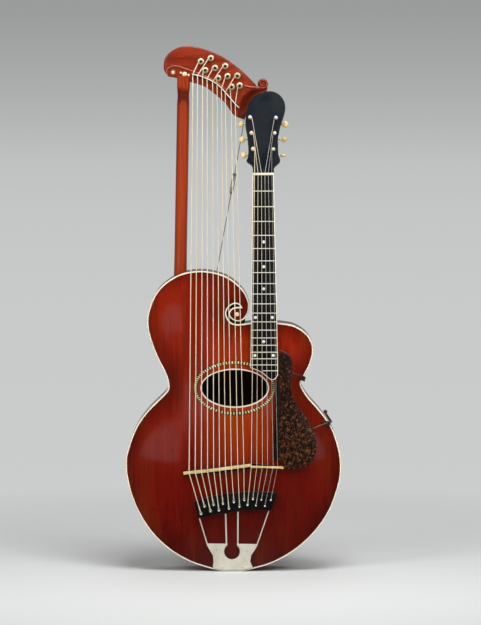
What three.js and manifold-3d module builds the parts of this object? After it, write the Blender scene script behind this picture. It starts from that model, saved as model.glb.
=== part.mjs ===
// A ten sub-bass harp guitar: carved body with a scroll, six-string neck, pillar and harp head.
// Millimetres. +Z runs up the neck, the soundboard faces -Y, and the sub-bass side is -X.
// The origin is the middle of the flat at the tail end of the rim.

import * as THREE from 'three';
import { mergeVertices } from 'three/addons/utils/BufferGeometryUtils.js';
import Module from 'manifold-3d';

const wasm = await Module();
wasm.setup();

// Driving dimensions

const stringScale = 641;
const nutLine = 870;
const fitGap = 0.3;

const edgeDepth = 48;
const plateThickness = 5;
const archHeight = 15;
const archReach = 150;
const bindingWidth = 2.8;
const rimThickness = 6.5;
const lipThickness = 1.2;

const soundholeCentre = [3.5, 404];
const soundholeRadii = [72.5, 40.2];
const soundholeRing = 2.6;
const backCrown = [3.5, 270];
const backCrownRadii = [35, 50];

const boardFront = -57;
const boardThickness = 6;
const boardSlope = 0.0291;
const nutFront = -58.2;
const fretCount = 19;
const fretHeight = 0.8;
const fretWidth = 1.8;

const headTilt = THREE.MathUtils.degToRad(11);
const headOrigin = [0, -53, 874];
const headThickness = 14;
const veneerThickness = 1.3;
const postRadius = 2.9;
const postTip = 9.5;
const gearRadius = 7.7;
const gearDepth = -17.7;
const gearThickness = 3.2;
const wormRadius = 2.5;
const wormDepth = -20.1;
const buttonRadius = 7.2;
const buttonThickness = 5.6;

const harpFront = -27;
const pegTip = 11.5;
const pegRadius = 2.6;
const pegFlange = 6.6;
const pegShank = 3;
const paddleRadius = 7.5;
const paddleThickness = 4;

const pillarRadius = 14.2;
const pillarDepth = -14;

const bridgeSeat = -62.2;
const saddleSeat = -72;
const saddleTop = -81;
const subBassNutTop = -33;
const pinBlockBack = -65.3;
const pinBlockFront = -75.3;
const pinRadius = 3.2;

// Outlines, as [x, z] pairs seen from the front

const bassSide = [
  [-22, 0], [-52.3, 6.8], [-97.7, 22.6], [-143.2, 50.6], [-181.6, 88.9], [-209.6, 134.2],
  [-226.9, 179.8], [-235.8, 232], [-230.6, 268.7], [-211.1, 319.7], [-183.7, 356.8],
  [-148.5, 392], [-141.7, 407.6], [-148.5, 434.9], [-164.3, 466.3], [-177.8, 499.5],
  [-187, 535], [-185.9, 567.9], [-169.7, 608.8], [-144.8, 635.3], [-111, 653.5],
  [-70.5, 659.4], [-31.8, 653.5], [-2.4, 639.7], [23.9, 614.7], [35, 588], [37, 566],
  [37.9, 546.2],
];
const trebleSide = [
  [37.9, 546.2], [66, 546.2], [96.6, 545.9], [133.8, 539.4], [163.2, 518.8], [174.8, 489.5],
  [168.2, 455.5], [150.5, 420.3], [149.1, 408.4], [163.2, 384.3], [192.3, 350.6],
  [217.5, 313], [233.7, 260.2], [236, 218], [228.6, 179.8], [209.6, 130.7], [178, 85.4],
  [136.2, 47.1], [87.4, 19.1], [41.8, 5], [18, 0],
];
const scrollSlot = [
  [42, 545.6], [35.7, 545.7], [12.3, 542.9], [0.4, 544.2], [-6.8, 548.6], [-12.7, 557.6],
  [-14.9, 567.9], [-11.2, 577.9], [-3.9, 584.7], [4.8, 587.6], [12.3, 585.4], [16.5, 580.5],
  [10.5, 580.6], [2, 579.5], [-5.5, 575.1], [-9.9, 566.3], [-6.8, 557.6], [2, 551],
  [12.3, 549.3], [22.6, 553.2], [29.8, 562], [34.2, 573.6], [35.4, 588], [42, 588],
];
const fingerboardOutline = [
  [42.3, 868.3], [88.3, 868.3], [95.9, 546], [97.7, 435.2], [92.4, 426.4], [85.2, 423.5],
  [76.4, 427.9], [63, 439.5], [45.6, 447], [37.4, 449.9], [39, 546],
];
const headstockOutline = [
  [42.7, 874.3], [42.7, 884.3], [39.4, 890.7], [29.3, 898.8], [32, 908.2], [33.3, 927.2],
  [30.7, 952.2], [26.9, 973.7], [26.9, 990.1], [29.3, 1008.9], [33.6, 1023.5],
  [41.1, 1034.6], [50.9, 1042.4], [62.6, 1047.6], [74.3, 1050.4], [86.1, 1050.2],
  [97.8, 1045.1], [106.4, 1036.9], [111.9, 1026.7], [113.7, 1015.6], [112.3, 1004],
  [108, 989.5], [103.4, 976], [99.9, 960], [97.9, 939.7], [98.6, 914.5], [102.3, 898.8], [89.8, 885.6], [89.1, 874.3],
];
const harpHeadOutline = [
  [-140.8, 1081.9], [-150, 1095], [-151.3, 1109.2], [-147.2, 1124.6], [-134, 1137.7],
  [-116.5, 1146.5], [-99.4, 1148.9], [-80.2, 1146.7], [-59.8, 1141.7], [-39.6, 1133.5],
  [-19.3, 1123.5], [0.9, 1109.2], [21.2, 1093], [39.4, 1074.9], [48.4, 1065.7], [52, 1061],
  [60, 1058], [74, 1060], [74, 1052], [60, 1030], [45, 1017], [36, 1010], [28, 997],
  [25.2, 987.7], [0.9, 998.9], [-17.3, 1024.3], [-37.7, 1042.4], [-57.8, 1057.8],
  [-74, 1064.8], [-91.3, 1069.8], [-122.6, 1079],
];
const harpScroll = [64.6, 1066.7, 11.2];
// The harp head seen from above, as [x, y]: it runs back behind the headstock on its right.
const harpHeadFrontLine = [[-170, -27], [16, -27], [24, -21], [33, -10], [90, -8]];
const harpHeadBackLine = [[-170, -3], [-30, -3], [0, 4], [30, 12], [90, 12]];
const subBassNutLine = [
  [-90.2, 1088], [-70.1, 1083], [-49.7, 1074.8], [-33.5, 1064.7], [-19.3, 1050.5],
  [-5.3, 1034.3], [5, 1022.2], [12.9, 1014.6],
];
const saddleOutline = [
  [-108, 215.5], [-60, 220], [-10, 226.5], [39.6, 233], [75, 231.8], [108, 229.5],
  [108, 233.5], [75, 235.8], [39.6, 238.5], [38, 240], [-10, 234], [-60, 227.5],
  [-104, 223.5], [-109, 220],
];
const bridgeBaseOutline = [
  [-106, 209], [-60, 213], [-10, 219], [39.6, 225.5], [75, 224.5], [105, 223],
  [109, 228], [108, 234.5], [75, 237], [39, 241], [-10, 235.5], [-60, 229], [-106, 224.5],
  [-110.5, 217],
];
const pinBlockOutline = [
  [-85.4, 157], [-68.8, 161.8], [-39.4, 169.7], [-10.1, 174.5], [19.3, 178], [48.6, 178.5],
  [78, 177.6], [97.5, 175.6], [83.7, 137.3], [58.3, 138.4], [19.3, 137.3], [-10.1, 132.5],
  [-39.4, 127.7], [-68.8, 121.8], [-76.7, 121.8],
];
const tailpieceOutline = [
  [-44.7, 3], [-44.7, 8.8], [-43.2, 22], [-44.5, 36], [-57.8, 58.7], [-58, 62.5],
  [-12.7, 62.2], [-12.7, 58.5], [8.1, 58], [8.1, 61.8], [53.4, 61.2], [52.6, 56.3],
  [39.5, 36], [37.2, 22], [43.1, 8.8], [43.1, 3],
];
const keyhole = [-2.6, 44.5, 17.3];
const pickguardOutline = [
  [98.6, 487.3], [108.8, 485.5], [124.4, 473.7], [129.2, 458.1], [128.3, 438.4],
  [126.4, 418.9], [128.3, 393.5], [138.2, 370.1], [153.7, 348.6], [167.3, 328.9],
  [177.2, 307.5], [182, 286], [181.1, 266.5], [173.2, 245.1], [157.7, 233.2],
  [138.2, 227.3], [118.5, 227.3], [112, 229.5], [110.5, 246], [91.5, 246], [98.6, 423.8],
];

// String, peg, post and pin positions, as [x, z] seen from the front

const pinPositions = [
  [-70.1, 130.1], [-62.6, 146.3], [-49.5, 136], [-42.9, 149.8], [-31.1, 137.8],
  [-22.3, 152.2], [-9.4, 141.7], [1.5, 155.9], [13.8, 146.3], [24.1, 160.5], [31.5, 150],
  [42.9, 162.7], [49.7, 148.9], [61.5, 161.4], [69, 147.8], [82.3, 161],
];
const saddleCrossings = [
  -96.1, -82.8, -69.4, -55.8, -42.5, -29.8, -16.9, -3.7, 10.3, 23.4,
  39.6, 51.5, 63.7, 75.3, 87.2, 96.8,
];
const subBassNutCrossings = [
  [-87.8, 1087.4], [-77.5, 1084.8], [-66.6, 1081.6], [-56.7, 1077.6], [-44.7, 1071.7],
  [-35, 1065.6], [-25.6, 1056.8], [-17.4, 1048.2], [-4.8, 1033.7], [4.4, 1022.9],
];
const pegPositions = [
  [-70.1, 1115.4], [-48.8, 1122.4], [-60.9, 1096.1], [-39.6, 1101.1], [-17.3, 1105.3],
  [-32.6, 1079], [-12.3, 1083], [9, 1084.1], [-3.4, 1060.2], [14, 1062.8],
];
const neckNutCrossings = [46.6, 54.1, 61.6, 69, 76.5, 84];
const postPositions = [
  [43.4, 926.9], [40.1, 960.8], [37, 994.8], [93.5, 994.1], [90.4, 960.8], [87.6, 926.3],
];
const buttonCentres = [23, 19.9, 16.2, 113.7, 111.3, 109.3];
const buttonTurns = [0, 0, 10, 0, 55, 90];
const subBassRadii = [1.05, 1.02, 0.99, 0.96, 0.93, 0.9, 0.87, 0.84, 0.81, 0.78];
const neckStringRadii = [0.68, 0.56, 0.46, 0.36, 0.26, 0.22];
const windingHeights = [3, 5.5, 6.2, 6.2, 5.5, 3];

// Finishes

const finish = (color, roughness, metalness) =>
  new THREE.MeshStandardMaterial({ color, roughness, metalness });
const redWood = () => finish(0x8a1f0a, 0.3, 0);
const armWood = () => finish(0xa03c1e, 0.35, 0);
const blackWood = () => finish(0x23282e, 0.3, 0);
const creamTrim = () => finish(0xf0e1c8, 0.4, 0);
const nickel = () => finish(0xd8d0c4, 0.3, 0.9);
const creamButton = () => finish(0xd9bb78, 0.4, 0);
const shell = () => finish(0x4a2812, 0.3, 0);
const woundMetal = () => finish(0xc8a070, 0.4, 0.8);

// Outline tools

const vectors = (pairs) => pairs.map(([x, z]) => new THREE.Vector2(x, z));

const splinePoints = (pairs, count) => new THREE.SplineCurve(vectors(pairs)).getSpacedPoints(count);

function ellipsePoints([centreX, centreZ], [radiusX, radiusZ], count) {
  const points = [];
  for (let step = 0; step < count; step += 1) {
    const angle = (step / count) * 2 * Math.PI;
    points.push(new THREE.Vector2(
      centreX + radiusX * Math.cos(angle),
      centreZ + radiusZ * Math.sin(angle),
    ));
  }
  return points;
}

// Moves each corner of an outline along the mean of its sides' normals, outward when positive.
function offsetOutline(points, distance) {
  const outward = THREE.ShapeUtils.area(points) > 0 ? 1 : -1;
  return points.map((point, index) => {
    const before = points[(index + points.length - 1) % points.length];
    const after = points[(index + 1) % points.length];
    const first = point.clone().sub(before).normalize();
    const second = after.clone().sub(point).normalize();
    const normal = new THREE.Vector2(first.y + second.y, -first.x - second.x).normalize();
    const mitre = Math.max(0.6, Math.sqrt((1 + first.dot(second)) / 2));
    return point.clone().addScaledVector(normal, (outward * distance) / mitre);
  });
}

function distanceToOutline(points, x, z) {
  const target = new THREE.Vector2(x, z);
  let least = Infinity;
  points.forEach((start, index) => {
    const side = points[(index + 1) % points.length].clone().sub(start);
    const along = target.clone().sub(start).dot(side) / side.lengthSq();
    const nearest = start.clone().addScaledVector(side, THREE.MathUtils.clamp(along, 0, 1));
    least = Math.min(least, nearest.distanceTo(target));
  });
  return least;
}

// Reads y at x on a line of [x, y] points.
function lineHeight(line, x) {
  const index = Math.max(1, line.findIndex(([pointX]) => pointX >= x));
  const [x0, y0] = line[index - 1];
  const [x1, y1] = line[index];
  return y0 + ((y1 - y0) * (x - x0)) / (x1 - x0);
}

// Solid tools

function solid(geometry) {
  const bare = geometry.clone();
  bare.deleteAttribute('normal');
  bare.deleteAttribute('uv');
  const merged = mergeVertices(bare, 1e-4);
  const position = merged.getAttribute('position');
  const index = Array.from(merged.getIndex().array);
  const corner = [new THREE.Vector3(), new THREE.Vector3(), new THREE.Vector3()];
  const triangles = [];
  let volume = 0;
  for (let start = 0; start < index.length; start += 3) {
    const [a, b, c] = index.slice(start, start + 3);
    if (a !== b && b !== c && c !== a) {
      corner.forEach((vector, place) => vector.fromBufferAttribute(position, [a, b, c][place]));
      volume += corner[0].dot(corner[1].cross(corner[2]));
      triangles.push(a, b, c);
    }
  }
  if (volume < 0) {
    triangles.reverse();
  }
  return new wasm.Manifold(new wasm.Mesh({
    numProp: 3,
    vertProperties: Float32Array.from(position.array),
    triVerts: Uint32Array.from(triangles),
  }));
}

function geometryOf(body) {
  const mesh = body.getMesh();
  const geometry = new THREE.BufferGeometry();
  geometry.setAttribute('position', new THREE.BufferAttribute(mesh.vertProperties, 3));
  geometry.setIndex(new THREE.BufferAttribute(mesh.triVerts, 1));
  return geometry;
}

const unite = (bodies) => bodies.reduce((whole, body) => whole.add(body));

// A solid whose outline is seen from the front, between two depths.
function prism(points, front, back) {
  const geometry = new THREE.ExtrudeGeometry(new THREE.Shape(points), {
    depth: back - front,
    bevelEnabled: false,
  });
  geometry.rotateX(Math.PI / 2).translate(0, back, 0);
  return solid(geometry);
}

function box(x, y, z) {
  const geometry = new THREE.BoxGeometry(x[1] - x[0], y[1] - y[0], z[1] - z[0]);
  geometry.translate((x[0] + x[1]) / 2, (y[0] + y[1]) / 2, (z[0] + z[1]) / 2);
  return solid(geometry);
}

// A rod along Y.
function rodAlongDepth([x, z], radius, front, back, sides) {
  const geometry = new THREE.CylinderGeometry(radius, radius, back - front, sides);
  geometry.translate(x, (front + back) / 2, z);
  return solid(geometry);
}

// A turned solid about Y, from [radius, depth] pairs.
function turned(profile, sides) {
  return new THREE.LatheGeometry(vectors(profile), sides);
}

// A straight-sided route, whose sections stand at its own points.
class Route extends THREE.Curve {
  constructor(points) {
    super();
    this.points = points;
  }

  getPoint(t, target = new THREE.Vector3()) {
    const place = t * (this.points.length - 1);
    const start = Math.min(Math.floor(place), this.points.length - 2);
    return target.lerpVectors(this.points[start], this.points[start + 1], place - start);
  }

  getUtoTmapping(u) {
    return u;
  }
}

function tube(points, radius, sides) {
  const section = new THREE.Shape(ellipsePoints([0, 0], [radius, radius], sides));
  return solid(new THREE.ExtrudeGeometry(section, {
    steps: points.length - 1,
    extrudePath: new Route(points),
  }));
}

// Leans a solid with the fingerboard: it comes forward towards the bridge.
const leanWithBoard = (body) => body.warp((vertex) => {
  vertex[1] -= boardSlope * (nutLine - vertex[2]);
});

// Headstock coordinates: x across, u up its face, n out of its face.
const headFrame = new THREE.Matrix4().makeBasis(
  new THREE.Vector3(1, 0, 0),
  new THREE.Vector3(0, Math.sin(headTilt), Math.cos(headTilt)),
  new THREE.Vector3(0, -Math.cos(headTilt), Math.sin(headTilt)),
).setPosition(...headOrigin);

const onHeadstock = (body) => body.transform(headFrame.toArray());

const upHeadstock = (z, n) => (z - headOrigin[2] - n * Math.sin(headTilt)) / Math.cos(headTilt);

function headPrism(points, back, front) {
  const onFace = points.map((point) => new THREE.Vector2(point.x, upHeadstock(point.y, 0)));
  const geometry = new THREE.ExtrudeGeometry(new THREE.Shape(onFace), {
    depth: front - back,
    bevelEnabled: false,
  });
  geometry.translate(0, 0, back);
  return onHeadstock(solid(geometry));
}

function headRod([x, u], radius, back, front, sides) {
  const geometry = new THREE.CylinderGeometry(radius, radius, front - back, sides);
  geometry.rotateX(Math.PI / 2).translate(x, u, (front + back) / 2);
  return onHeadstock(solid(geometry));
}

const instrument = new THREE.Group();

function addPiece(name, body, material) {
  const mesh = new THREE.Mesh(geometryOf(body), material);
  mesh.name = name;
  instrument.add(mesh);
}

// Body

const bassPoints = splinePoints(bassSide, 38);
const treblePoints = splinePoints(trebleSide, 32);
const bodyOutline = [...bassPoints, ...treblePoints.slice(1)];
const slotOutline = vectors(scrollSlot);

// The carving rises from every edge, the slot's too, and is level past its reach.
function archAt(x, z) {
  const inward = Math.min(
    distanceToOutline(bodyOutline, x, z),
    distanceToOutline(slotOutline, x, z),
  );
  const rise = Math.min(inward / archReach, 1);
  return archHeight * rise * rise * (3 - 2 * rise);
}

// A body layer between two depths, held in from the edge and from the slot.
function bodyLayer(inset, front, back) {
  const outer = prism(offsetOutline(bodyOutline, -inset), front, back);
  return outer.subtract(prism(offsetOutline(slotOutline, inset), front - 1, back + 1));
}

// A carved plate in rings from the body's edge to an inner ellipse; facing is -1 in front.
function carvedPlate(facing, centre, innerRadii, ringSteps, open) {
  const edge = offsetOutline(bodyOutline, -(bindingWidth + fitGap));
  const count = edge.length;
  const positions = [];
  const indices = [];
  for (const step of ringSteps) {
    for (const point of edge) {
      const away = point.clone().sub(new THREE.Vector2(...centre));
      const angle = Math.atan2(away.y / innerRadii[1], away.x / innerRadii[0]);
      const x = THREE.MathUtils.lerp(point.x, centre[0] + innerRadii[0] * Math.cos(angle), step);
      const z = THREE.MathUtils.lerp(point.y, centre[1] + innerRadii[1] * Math.sin(angle), step);
      const depth = edgeDepth + (step === 0 ? 0 : archAt(x, z));
      positions.push(x, facing * depth, z, x, facing * (depth - plateThickness), z);
    }
  }
  const vertex = (ring, place, side) => 2 * (ring * count + (place % count)) + side;
  const quad = (a, b, c, d) => indices.push(a, b, c, a, c, d);
  const last = ringSteps.length - 1;
  for (let place = 0; place < count; place += 1) {
    for (let ring = 0; ring < last; ring += 1) {
      quad(vertex(ring, place, 0), vertex(ring, place + 1, 0), vertex(ring + 1, place + 1, 0),
        vertex(ring + 1, place, 0));
      quad(vertex(ring, place, 1), vertex(ring + 1, place, 1), vertex(ring + 1, place + 1, 1),
        vertex(ring, place + 1, 1));
    }
    quad(vertex(0, place, 0), vertex(0, place, 1), vertex(0, place + 1, 1), vertex(0, place + 1, 0));
    if (open) {
      quad(vertex(last, place, 0), vertex(last, place + 1, 0), vertex(last, place + 1, 1),
        vertex(last, place, 1));
    }
  }
  if (!open) {
    for (let place = 1; place < count - 1; place += 1) {
      indices.push(vertex(last, 0, 0), vertex(last, place, 0), vertex(last, place + 1, 0));
      indices.push(vertex(last, 0, 1), vertex(last, place + 1, 1), vertex(last, place, 1));
    }
  }
  const geometry = new THREE.BufferGeometry();
  geometry.setAttribute('position', new THREE.Float32BufferAttribute(positions, 3));
  geometry.setIndex(indices);
  const slotCut = prism(offsetOutline(slotOutline, bindingWidth + fitGap), -80, 80);
  return solid(geometry).subtract(slotCut);
}

// A brace that follows the underside of the soundboard.
function brace(xRange, zRange) {
  const middle = (zRange[0] + zRange[1]) / 2;
  const points = [];
  for (let step = 0; step <= 6; step += 1) {
    const x = THREE.MathUtils.lerp(xRange[0], xRange[1], step / 6);
    points.push(new THREE.Vector2(x, -(edgeDepth - plateThickness + archAt(x, middle) + 2)));
  }
  points.push(new THREE.Vector2(xRange[1], -42), new THREE.Vector2(xRange[0], -42));
  const geometry = new THREE.ExtrudeGeometry(new THREE.Shape(points), {
    depth: zRange[1] - zRange[0],
    bevelEnabled: false,
  });
  geometry.translate(0, 0, zRange[0]);
  return solid(geometry);
}

const soundholeOval = (growth) =>
  ellipsePoints(soundholeCentre, soundholeRadii.map((radius) => radius + growth), 40);
const soundboard = unite([
  carvedPlate(-1, soundholeCentre, soundholeRadii, [0, 0.12, 0.32, 0.6, 1], true)
    .subtract(prism(soundholeOval(soundholeRing + fitGap), -80, 0)),
  brace([-140, 140], [340, 350]),
  brace([-110, 120], [472, 482]),
]);
addPiece('soundboard', soundboard, redWood());

const backPlate = carvedPlate(1, backCrown, backCrownRadii, [0, 0.12, 0.27, 0.48, 0.72, 1], false);
addPiece('back_plate', backPlate, redWood());

// The tailpiece's lip is let into the binding and the rim at the tail.
const lipRing = (inset, halfWidth, front, back) => {
  const outer = prism(offsetOutline(bodyOutline, 1), front, back);
  const inner = prism(offsetOutline(bodyOutline, -inset), front - 1, back + 1);
  return outer.subtract(inner).intersect(box([-halfWidth - 0.8, halfWidth], [-60, 0], [-3, 12]));
};
const lipRecess = lipRing(lipThickness + fitGap, 45.6, -55, -37.5);

const rimInner = offsetOutline(
  [...splinePoints(bassSide.slice(0, 22), 26),
    ...vectors([[-40, 645], [-29, 610], [-29, 560], [-8, 531], [37.9, 530], [99, 530]]),
    ...splinePoints([[96.6, 545.9], ...trebleSide.slice(3)], 22).slice(1)],
  -rimThickness,
);
const rim = bodyLayer(0, -edgeDepth + plateThickness + fitGap, edgeDepth - plateThickness - fitGap)
  .subtract(prism(rimInner, -60, 60))
  .subtract(lipRecess);
addPiece('rim', rim, redWood());

const topBinding = bodyLayer(0, -edgeDepth, -edgeDepth + plateThickness)
  .subtract(bodyLayer(bindingWidth, -60, 60))
  .subtract(lipRecess);
addPiece('top_binding', topBinding, creamTrim());

// The soundhole's ring stands a little proud and follows the carving.
const soundholeRingBody = prism(soundholeOval(soundholeRing), -0.6, plateThickness + 1)
  .subtract(prism(soundholeOval(0), -10, 10))
  .warp((vertex) => {
    vertex[1] -= edgeDepth + archAt(vertex[0], vertex[2]);
  });
addPiece('soundhole_ring', soundholeRingBody, creamTrim());

addPiece('neck_block', box([40, 96], [-42, 42], [490, 522.5]), armWood());
addPiece('tail_block', box([-31, 27], [-42, 42], [11, 34]), armWood());

// Fingerboard and neck

const boardBack = boardFront + boardThickness;

function boardEdge(z, side) {
  const [nutX, jointX] = side < 0 ? [42.3, 39] : [88.3, 95.9];
  return THREE.MathUtils.mapLinear(z, 868.3, 546, nutX, jointX);
}

const fretLine = (fret) => nutLine - stringScale * (1 - 2 ** (-fret / 12));

function fretBar(fret) {
  const z = fretLine(fret);
  const left = fret === fretCount ? 64 : boardEdge(z, -1) + 0.6;
  const right = boardEdge(z, 1) - 0.6;
  return box([left, right], [boardFront - fretHeight, boardFront + 0.5],
    [z - fretWidth / 2, z + fretWidth / 2]);
}

const fretBars = Array.from({ length: fretCount }, (_, index) => fretBar(index + 1));
const fingerboard = leanWithBoard(unite([
  prism(vectors(fingerboardOutline), boardFront, boardBack),
  ...fretBars,
]));
addPiece('fingerboard', fingerboard, blackWood());

addPiece('nut', leanWithBoard(box([42.4, 88.2], [nutFront, boardBack], [868.6, 873.5])), creamTrim());

// The neck's sections, as [z, depth behind the fingerboard]: its heel stands on the rim.
const neckSections = [
  [546.6, 91], [555, 84], [566, 62], [580, 36], [598, 23], [640, 20], [760, 18.5], [874, 16.5],
];

function neckShaft() {
  const corners = 9;
  const positions = [];
  const indices = [];
  for (const [z, depth] of neckSections) {
    const left = boardEdge(z, -1) + 0.4;
    const right = boardEdge(z, 1) - 0.4;
    for (let corner = 0; corner < corners; corner += 1) {
      const angle = (Math.PI * corner) / (corners - 1);
      positions.push(
        (left + right) / 2 - ((right - left) / 2) * Math.cos(angle),
        boardBack + fitGap + depth * Math.sin(angle) ** 0.8,
        z,
      );
    }
  }
  const last = neckSections.length - 1;
  for (let section = 0; section < last; section += 1) {
    for (let corner = 0; corner < corners; corner += 1) {
      const a = section * corners + corner;
      const b = section * corners + ((corner + 1) % corners);
      indices.push(a, b, b + corners, a, b + corners, a + corners);
    }
  }
  for (let corner = 1; corner < corners - 1; corner += 1) {
    indices.push(0, corner + 1, corner);
    indices.push(last * corners, last * corners + corner, last * corners + corner + 1);
  }
  const geometry = new THREE.BufferGeometry();
  geometry.setAttribute('position', new THREE.Float32BufferAttribute(positions, 3));
  geometry.setIndex(indices);
  return solid(geometry);
}

// The wedge of neck wood under the fingerboard's end, over the soundboard.
function neckExtension() {
  const profile = vectors([[546.9, -50.7], [452, -50.7], [452, -44.2], [546.9, -38]]);
  const geometry = new THREE.ExtrudeGeometry(new THREE.Shape(profile), {
    depth: 54,
    bevelEnabled: false,
  });
  geometry.applyMatrix4(new THREE.Matrix4().makeBasis(
    new THREE.Vector3(0, 0, 1),
    new THREE.Vector3(0, 1, 0),
    new THREE.Vector3(-1, 0, 0),
  ));
  geometry.translate(95, 0, 0);
  return solid(geometry);
}

const headstockPoints = vectors(headstockOutline);
const postHole = ([x, z]) =>
  headRod([x, upHeadstock(z, postTip)], postRadius + 0.6, -60, 20, 12);
const postHoles = unite(postPositions.map(postHole));

const neck = leanWithBoard(unite([neckShaft(), neckExtension()]))
  .add(headPrism(headstockPoints, -veneerThickness - fitGap - headThickness, -veneerThickness - fitGap))
  .subtract(soundboard.translate([0, -fitGap, 0]))
  .subtract(prism(offsetOutline(bodyOutline, fitGap), -edgeDepth - fitGap, edgeDepth))
  .subtract(postHoles);
addPiece('neck', neck, redWood());

addPiece('headstock_face', headPrism(headstockPoints, -veneerThickness, 0).subtract(postHoles), blackWood());

// Tuners

const tunerStrips = {
  bass: [[28.2, 992], [31.5, 1001], [44, 1001], [51.5, 906], [33.5, 906]],
  treble: [[86.5, 1001], [102, 1001], [97, 906], [79.5, 906]],
};
const stripBack = -veneerThickness - headThickness - 2 * fitGap;
const stripThickness = 1.3;
const wormDrop = gearRadius + wormRadius + fitGap;

// A lug that carries the worm shaft at the outer edge of the strip.
function wormLug(index) {
  const [x, z] = postPositions[index];
  const side = index < 3 ? -1 : 1;
  const near = x + side * 5.6;
  const far = x + side * 8.2;
  const u = upHeadstock(z, postTip) - wormDrop;
  const lug = new THREE.BoxGeometry(Math.abs(far - near), 6, 6.4);
  lug.translate((near + far) / 2, u, wormDepth + 0.2);
  const hole = new THREE.CylinderGeometry(1.9, 1.9, 12, 8);
  hole.rotateZ(Math.PI / 2).translate((near + far) / 2, u, wormDepth);
  return onHeadstock(solid(lug).subtract(solid(hole)));
}

function tunerStrip(side) {
  const first = side === 'bass' ? 0 : 3;
  const lugs = [0, 1, 2].map((step) => wormLug(first + step));
  const strip = headPrism(vectors(tunerStrips[side]), stripBack - stripThickness, stripBack);
  return unite([strip, ...lugs]).subtract(postHoles);
}

addPiece('tuner_strip_bass', tunerStrip('bass'), nickel());
addPiece('tuner_strip_treble', tunerStrip('treble'), nickel());

function stringPost(index) {
  const [x, z] = postPositions[index];
  const gearBack = gearDepth - gearThickness;
  const profile = [
    [0, postTip], [postRadius, postTip], [postRadius, gearDepth], [gearRadius, gearDepth],
    [gearRadius, gearBack], [0, gearBack],
  ];
  const geometry = turned(profile, 12);
  geometry.rotateX(Math.PI / 2).translate(x, upHeadstock(z, postTip), 0);
  return onHeadstock(solid(geometry));
}

function wormButton(index) {
  const [x, z] = postPositions[index];
  const side = index < 3 ? -1 : 1;
  const reach = Math.abs(buttonCentres[index] - x);
  const shaft = turned([
    [0, -6], [1.4, -6], [1.4, -4.5], [wormRadius, -4.5], [wormRadius, 4.5], [1.4, 4.5],
    [1.4, reach], [0, reach],
  ], 8);
  const button = new THREE.CylinderGeometry(buttonRadius, buttonRadius, buttonThickness, 12);
  button.rotateX(Math.PI / 2).rotateY(THREE.MathUtils.degToRad(buttonTurns[index]));
  button.translate(0, reach, 0);
  const whole = solid(shaft).add(solid(button));
  const place = new THREE.Matrix4().makeRotationZ((-side * Math.PI) / 2);
  place.setPosition(x, upHeadstock(z, postTip) - wormDrop, wormDepth);
  return onHeadstock(whole.transform(place.toArray()));
}

postPositions.forEach((_, index) => {
  addPiece(`string_post_${index + 1}`, stringPost(index), nickel());
  addPiece(`tuner_button_${index + 1}`, wormButton(index), creamButton());
});

// Harp head, sub-bass nut and pegs

const pegHoles = unite(pegPositions.map((position) =>
  rodAlongDepth(position, pegShank + 0.5, -60, 60, 10)));
const harpHeadSlab = new THREE.ExtrudeGeometry(
  new THREE.Shape(vectors([...harpHeadFrontLine, ...harpHeadBackLine.toReversed()])),
  { depth: 220, bevelEnabled: false },
);
harpHeadSlab.translate(0, 0, 960);
const harpHead = unite([
  prism(vectors(harpHeadOutline), -60, 60),
  rodAlongDepth(harpScroll.slice(0, 2), harpScroll[2], -60, 60, 20),
])
  .intersect(solid(harpHeadSlab))
  .subtract(headPrism(offsetOutline(headstockPoints, fitGap), stripBack, 30))
  .subtract(pegHoles);
addPiece('harp_head', harpHead, armWood());

function stripAlong(points, halfWidth) {
  const left = [];
  const right = [];
  points.forEach((point, index) => {
    const before = points[Math.max(index - 1, 0)];
    const after = points[Math.min(index + 1, points.length - 1)];
    const along = after.clone().sub(before).normalize();
    left.push(new THREE.Vector2(point.x - along.y * halfWidth, point.y + along.x * halfWidth));
    right.push(new THREE.Vector2(point.x + along.y * halfWidth, point.y - along.x * halfWidth));
  });
  return [...left, ...right.reverse()];
}

addPiece('sub_bass_nut', prism(
  stripAlong(splinePoints(subBassNutLine, 12), 2),
  subBassNutTop,
  harpFront - fitGap,
), creamTrim());

function subBassPeg(index) {
  const [x, z] = pegPositions[index];
  const back = lineHeight(harpHeadBackLine, x + pegFlange);
  const profile = [
    [0, harpFront - pegTip], [pegRadius, harpFront - pegTip], [pegRadius, harpFront - 2],
    [pegFlange, harpFront - 2], [pegFlange, harpFront - fitGap], [pegShank, harpFront - fitGap],
    [pegShank, back + 6], [0, back + 6],
  ];
  const paddle = new THREE.CylinderGeometry(paddleRadius, paddleRadius, paddleThickness, 12);
  paddle.rotateZ(Math.PI / 2).translate(0, back + 2 + paddleRadius, 0);
  return solid(turned(profile, 8)).add(solid(paddle)).translate([x, 0, z]);
}

pegPositions.forEach((_, index) => {
  addPiece(`sub_bass_peg_${index + 1}`, subBassPeg(index), nickel());
});

// Pillar

const pillarFoot = new THREE.Vector3(-115.9, pillarDepth, 645);
const pillarHead = new THREE.Vector3(-107.9, pillarDepth, 1085);
const pillar = tube([pillarFoot, pillarHead], pillarRadius, 12)
  .subtract(prism(vectors([[-60, 1059.6], [-60, 1120], [-160, 1120], [-160, 1089]]), -60, 60))
  .subtract(prism(offsetOutline(bodyOutline, fitGap), -60, 60));
addPiece('pillar', pillar, armWood());

// Bridge

addPiece('bridge_base', prism(vectors(bridgeBaseOutline), saddleSeat + fitGap, bridgeSeat + 3)
  .subtract(soundboard.translate([0, -fitGap, 0]).add(box([-150, 150], [-62, -50], [190, 260]))), blackWood());
addPiece('bridge_saddle', prism(vectors(saddleOutline), saddleTop, saddleSeat), creamTrim());

// Pin block and tailpiece

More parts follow.
